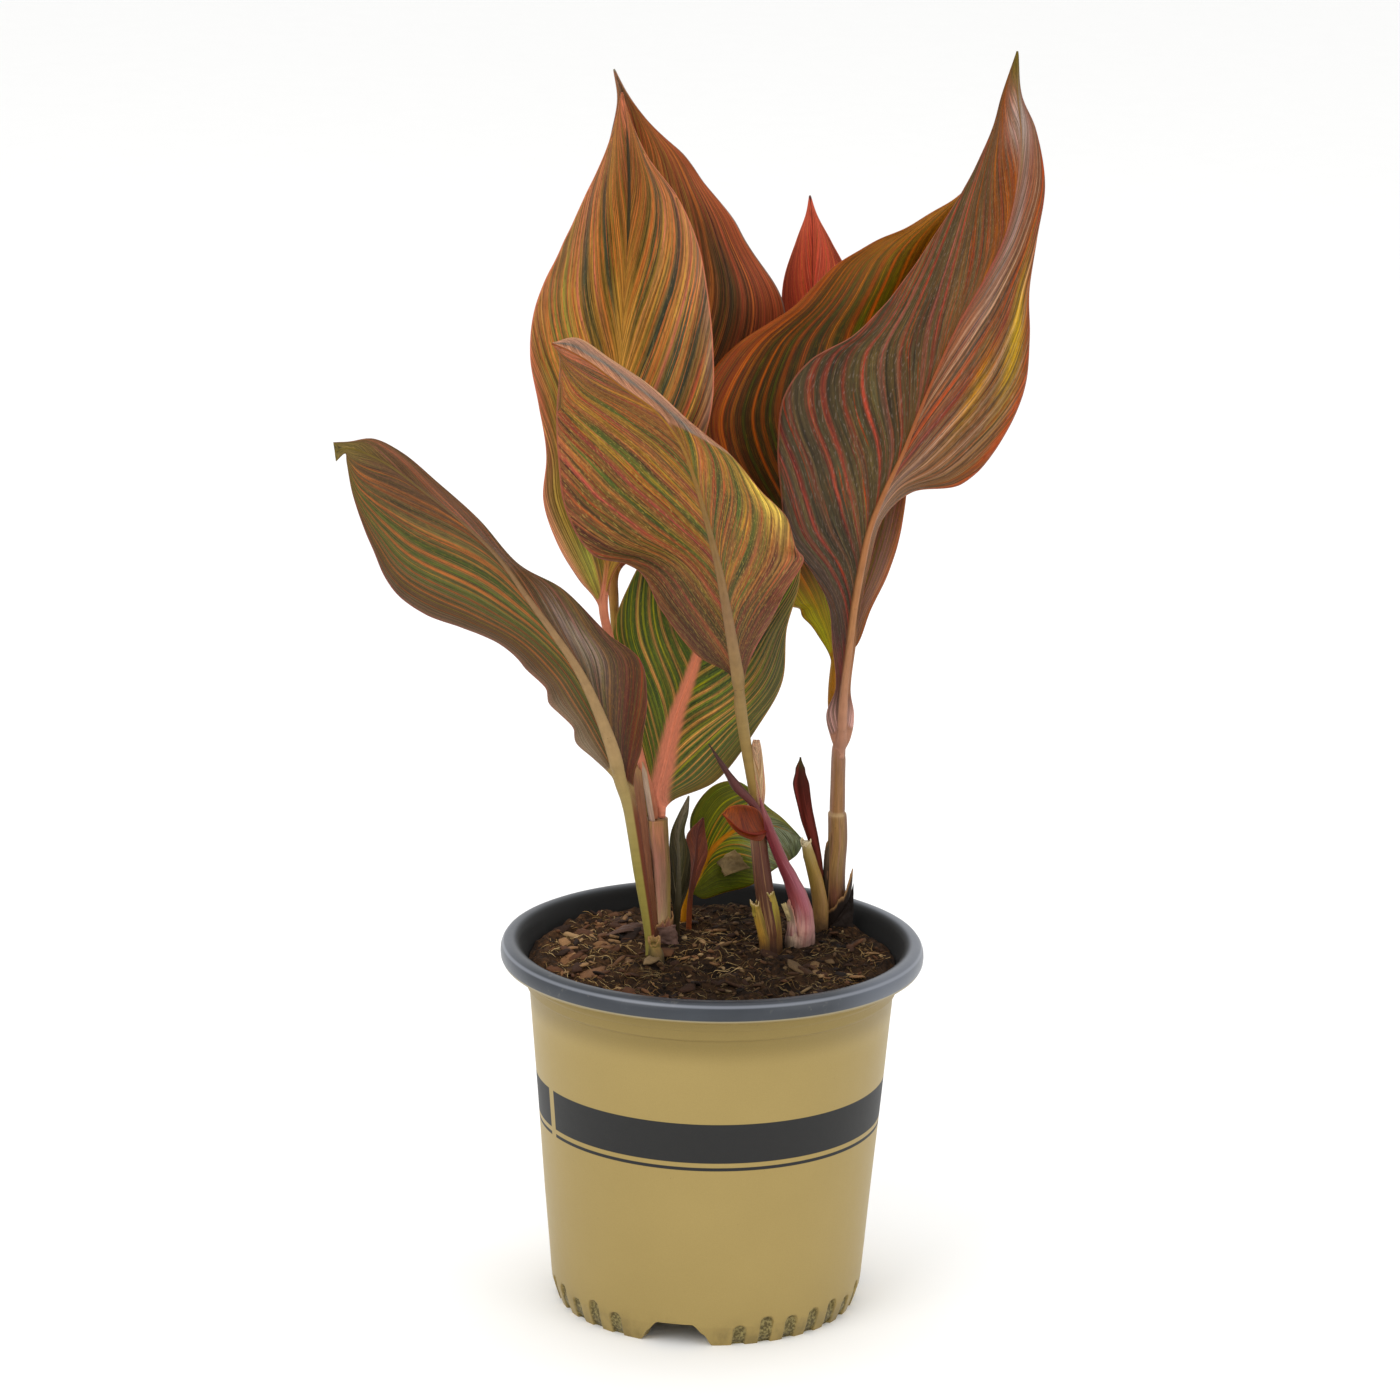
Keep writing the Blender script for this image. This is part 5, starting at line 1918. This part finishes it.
def bark(random):
    """bark chips of five sizes, larger on the pot's left side"""
    chips = Parts()
    for _ in range(CHIPS):
        x, y = scatter(random)
        size = random.choice([1.0, 1.6, 2.4, 3.6, 5.5], p=[0.36, 0.32, 0.2, 0.09, 0.03])
        size *= random.uniform(0.8, 1.25)
        size *= 1.35 if x < -20 else 1.0
        points, faces = bark_chip(random, x, y, size)
        if np.hypot(points[:, 0], points[:, 1]).max() < CHIP_R:
            chips.add(points, faces, pick=np.full(len(points), random.uniform()))
    return chips


def root_fibres(random):
    """thin pale and dark threads"""
    threads = Parts()
    for _ in range(FIBRES):
        x, y = scatter(random, 4)
        made = fibre(random, x, y, random.uniform(2, 9.5), random.uniform(0.06, 0.18))
        if made:
            threads.add(*made, pick=np.full(len(made[0]), random.uniform()))
    return threads


def fallen_scraps():
    """the scraps, each with its own colour"""
    scraps = Parts()
    for k, (corners, bulge) in enumerate(SCRAPS):
        points, faces = scrap(corners, bulge, k)
        scraps.add(points, faces, pick=np.full(len(points), k / (len(SCRAPS) - 1)))
    return scraps


def make_litter():
    """everything that lies loose on the compost; chips and fibres share one row of random numbers"""
    random = np.random.default_rng(5)
    chip_colours = ["#20140c", "#3c2416", "#54341f", "#6e4a2e", "#8a6642", "#a88a60"]
    bark(random).piece("compost_bark", litter_material("compost.bark", chip_colours))
    scrap_colours = ["#5e4234", "#8a6658", "#a08c60", "#a88c5c", "#241a14"]
    fallen_scraps().piece("compost_scraps", litter_material("compost.scraps", scrap_colours, 0.6))
    fibre_colours = ["#2c1d10", "#4a3219", "#7a5830", "#a8854f", "#c9ac78"]
    root_fibres(random).piece("compost_fibres", litter_material("compost.fibres", fibre_colours))


# ---- studio ----
def make_stage():
    """a plain pale floor, the same all round"""
    mesh = bpy.data.meshes.new("studio_floor")
    reach = 9.0
    corners = [(-reach, -reach, 0), (reach, -reach, 0), (reach, reach, 0), (-reach, reach, 0)]
    mesh.from_pydata(corners, [], [(0, 1, 2, 3)])
    g = Graph("studio_floor", Roughness=0.9, Specular_IOR_Level=0.1)
    paper = g.noise(g.place(), 30, 2)
    mesh.materials.append(g.finish(g.mix("#f8f8f7", "#fafaf9", paper)))
    floor = bpy.data.objects.new("studio_floor", mesh)
    bpy.context.scene.collection.objects.link(floor)


def area_light(name, place, target, size, power):
    """a soft lamp turned to a target; sizes in metres, power in watts"""
    light = bpy.data.lights.new(name, "AREA")
    light.shape = "RECTANGLE"
    light.size, light.size_y = size
    light.energy = power
    holder = bpy.data.objects.new(name, light)
    holder.location = place
    holder.rotation_euler = (Vector(target) - Vector(place)).to_track_quat("-Z", "Y").to_euler()
    bpy.context.scene.collection.objects.link(holder)


def make_lights():
    """three soft lamps and a white surround"""
    middle = (0.0, 0.0, 0.25)
    area_light("key", (-1.3, -1.6, 1.7), middle, (1.4, 1.4), 20)
    area_light("fill", (1.7, -1.3, 0.9), middle, (1.0, 1.6), 8)
    area_light("top", (0.1, 0.5, 2.2), middle, (1.6, 1.2), 8)
    world = bpy.data.worlds.new("studio")
    world.use_nodes = True
    background = world.node_tree.nodes["Background"]
    background.inputs["Color"].default_value = (1.0, 1.0, 1.0, 1)
    background.inputs["Strength"].default_value = 1.0
    bpy.context.scene.world = world


# ---- camera: the photograph's own view ----
CAMERA_DISTANCE = 2.2
CAMERA_ELEVATION = 15.0
CAMERA_ROLL = 1.05
CAMERA_TARGET = (-0.0067, 0.0, 0.25)   # from the pot's axis
CAMERA_LENS = 142.46                    # mm on a 36 mm sensor


def make_camera():
    """a long lens in front of the pot, looking down a little and rolled a little"""
    camera = bpy.data.cameras.new("camera")
    camera.lens = CAMERA_LENS
    camera.sensor_width = 36
    camera.clip_end = 40
    el, roll = radians(CAMERA_ELEVATION), radians(CAMERA_ROLL)
    back = Vector((0, -cos(el), sin(el)))
    right = Vector((1, 0, 0))
    up = back.cross(right).normalized()
    across = cos(roll) * right + sin(roll) * up
    upright = -sin(roll) * right + cos(roll) * up
    holder = bpy.data.objects.new("camera", camera)
    place = Matrix((across, upright, back)).transposed().to_4x4()
    place.translation = AXIS + Vector(CAMERA_TARGET) + back * CAMERA_DISTANCE
    holder.matrix_world = place
    bpy.context.scene.collection.objects.link(holder)
    bpy.context.scene.camera = holder
    bpy.context.scene.view_settings.view_transform = "Standard"


make_camera()
make_lights()
make_stage()
make_pot()
make_soil()
make_litter()
left_stem()
centre_stem()
right_stem()
pink_shoot()
purple_spear()
yellow_stub()
front_stub()
make_leaves()
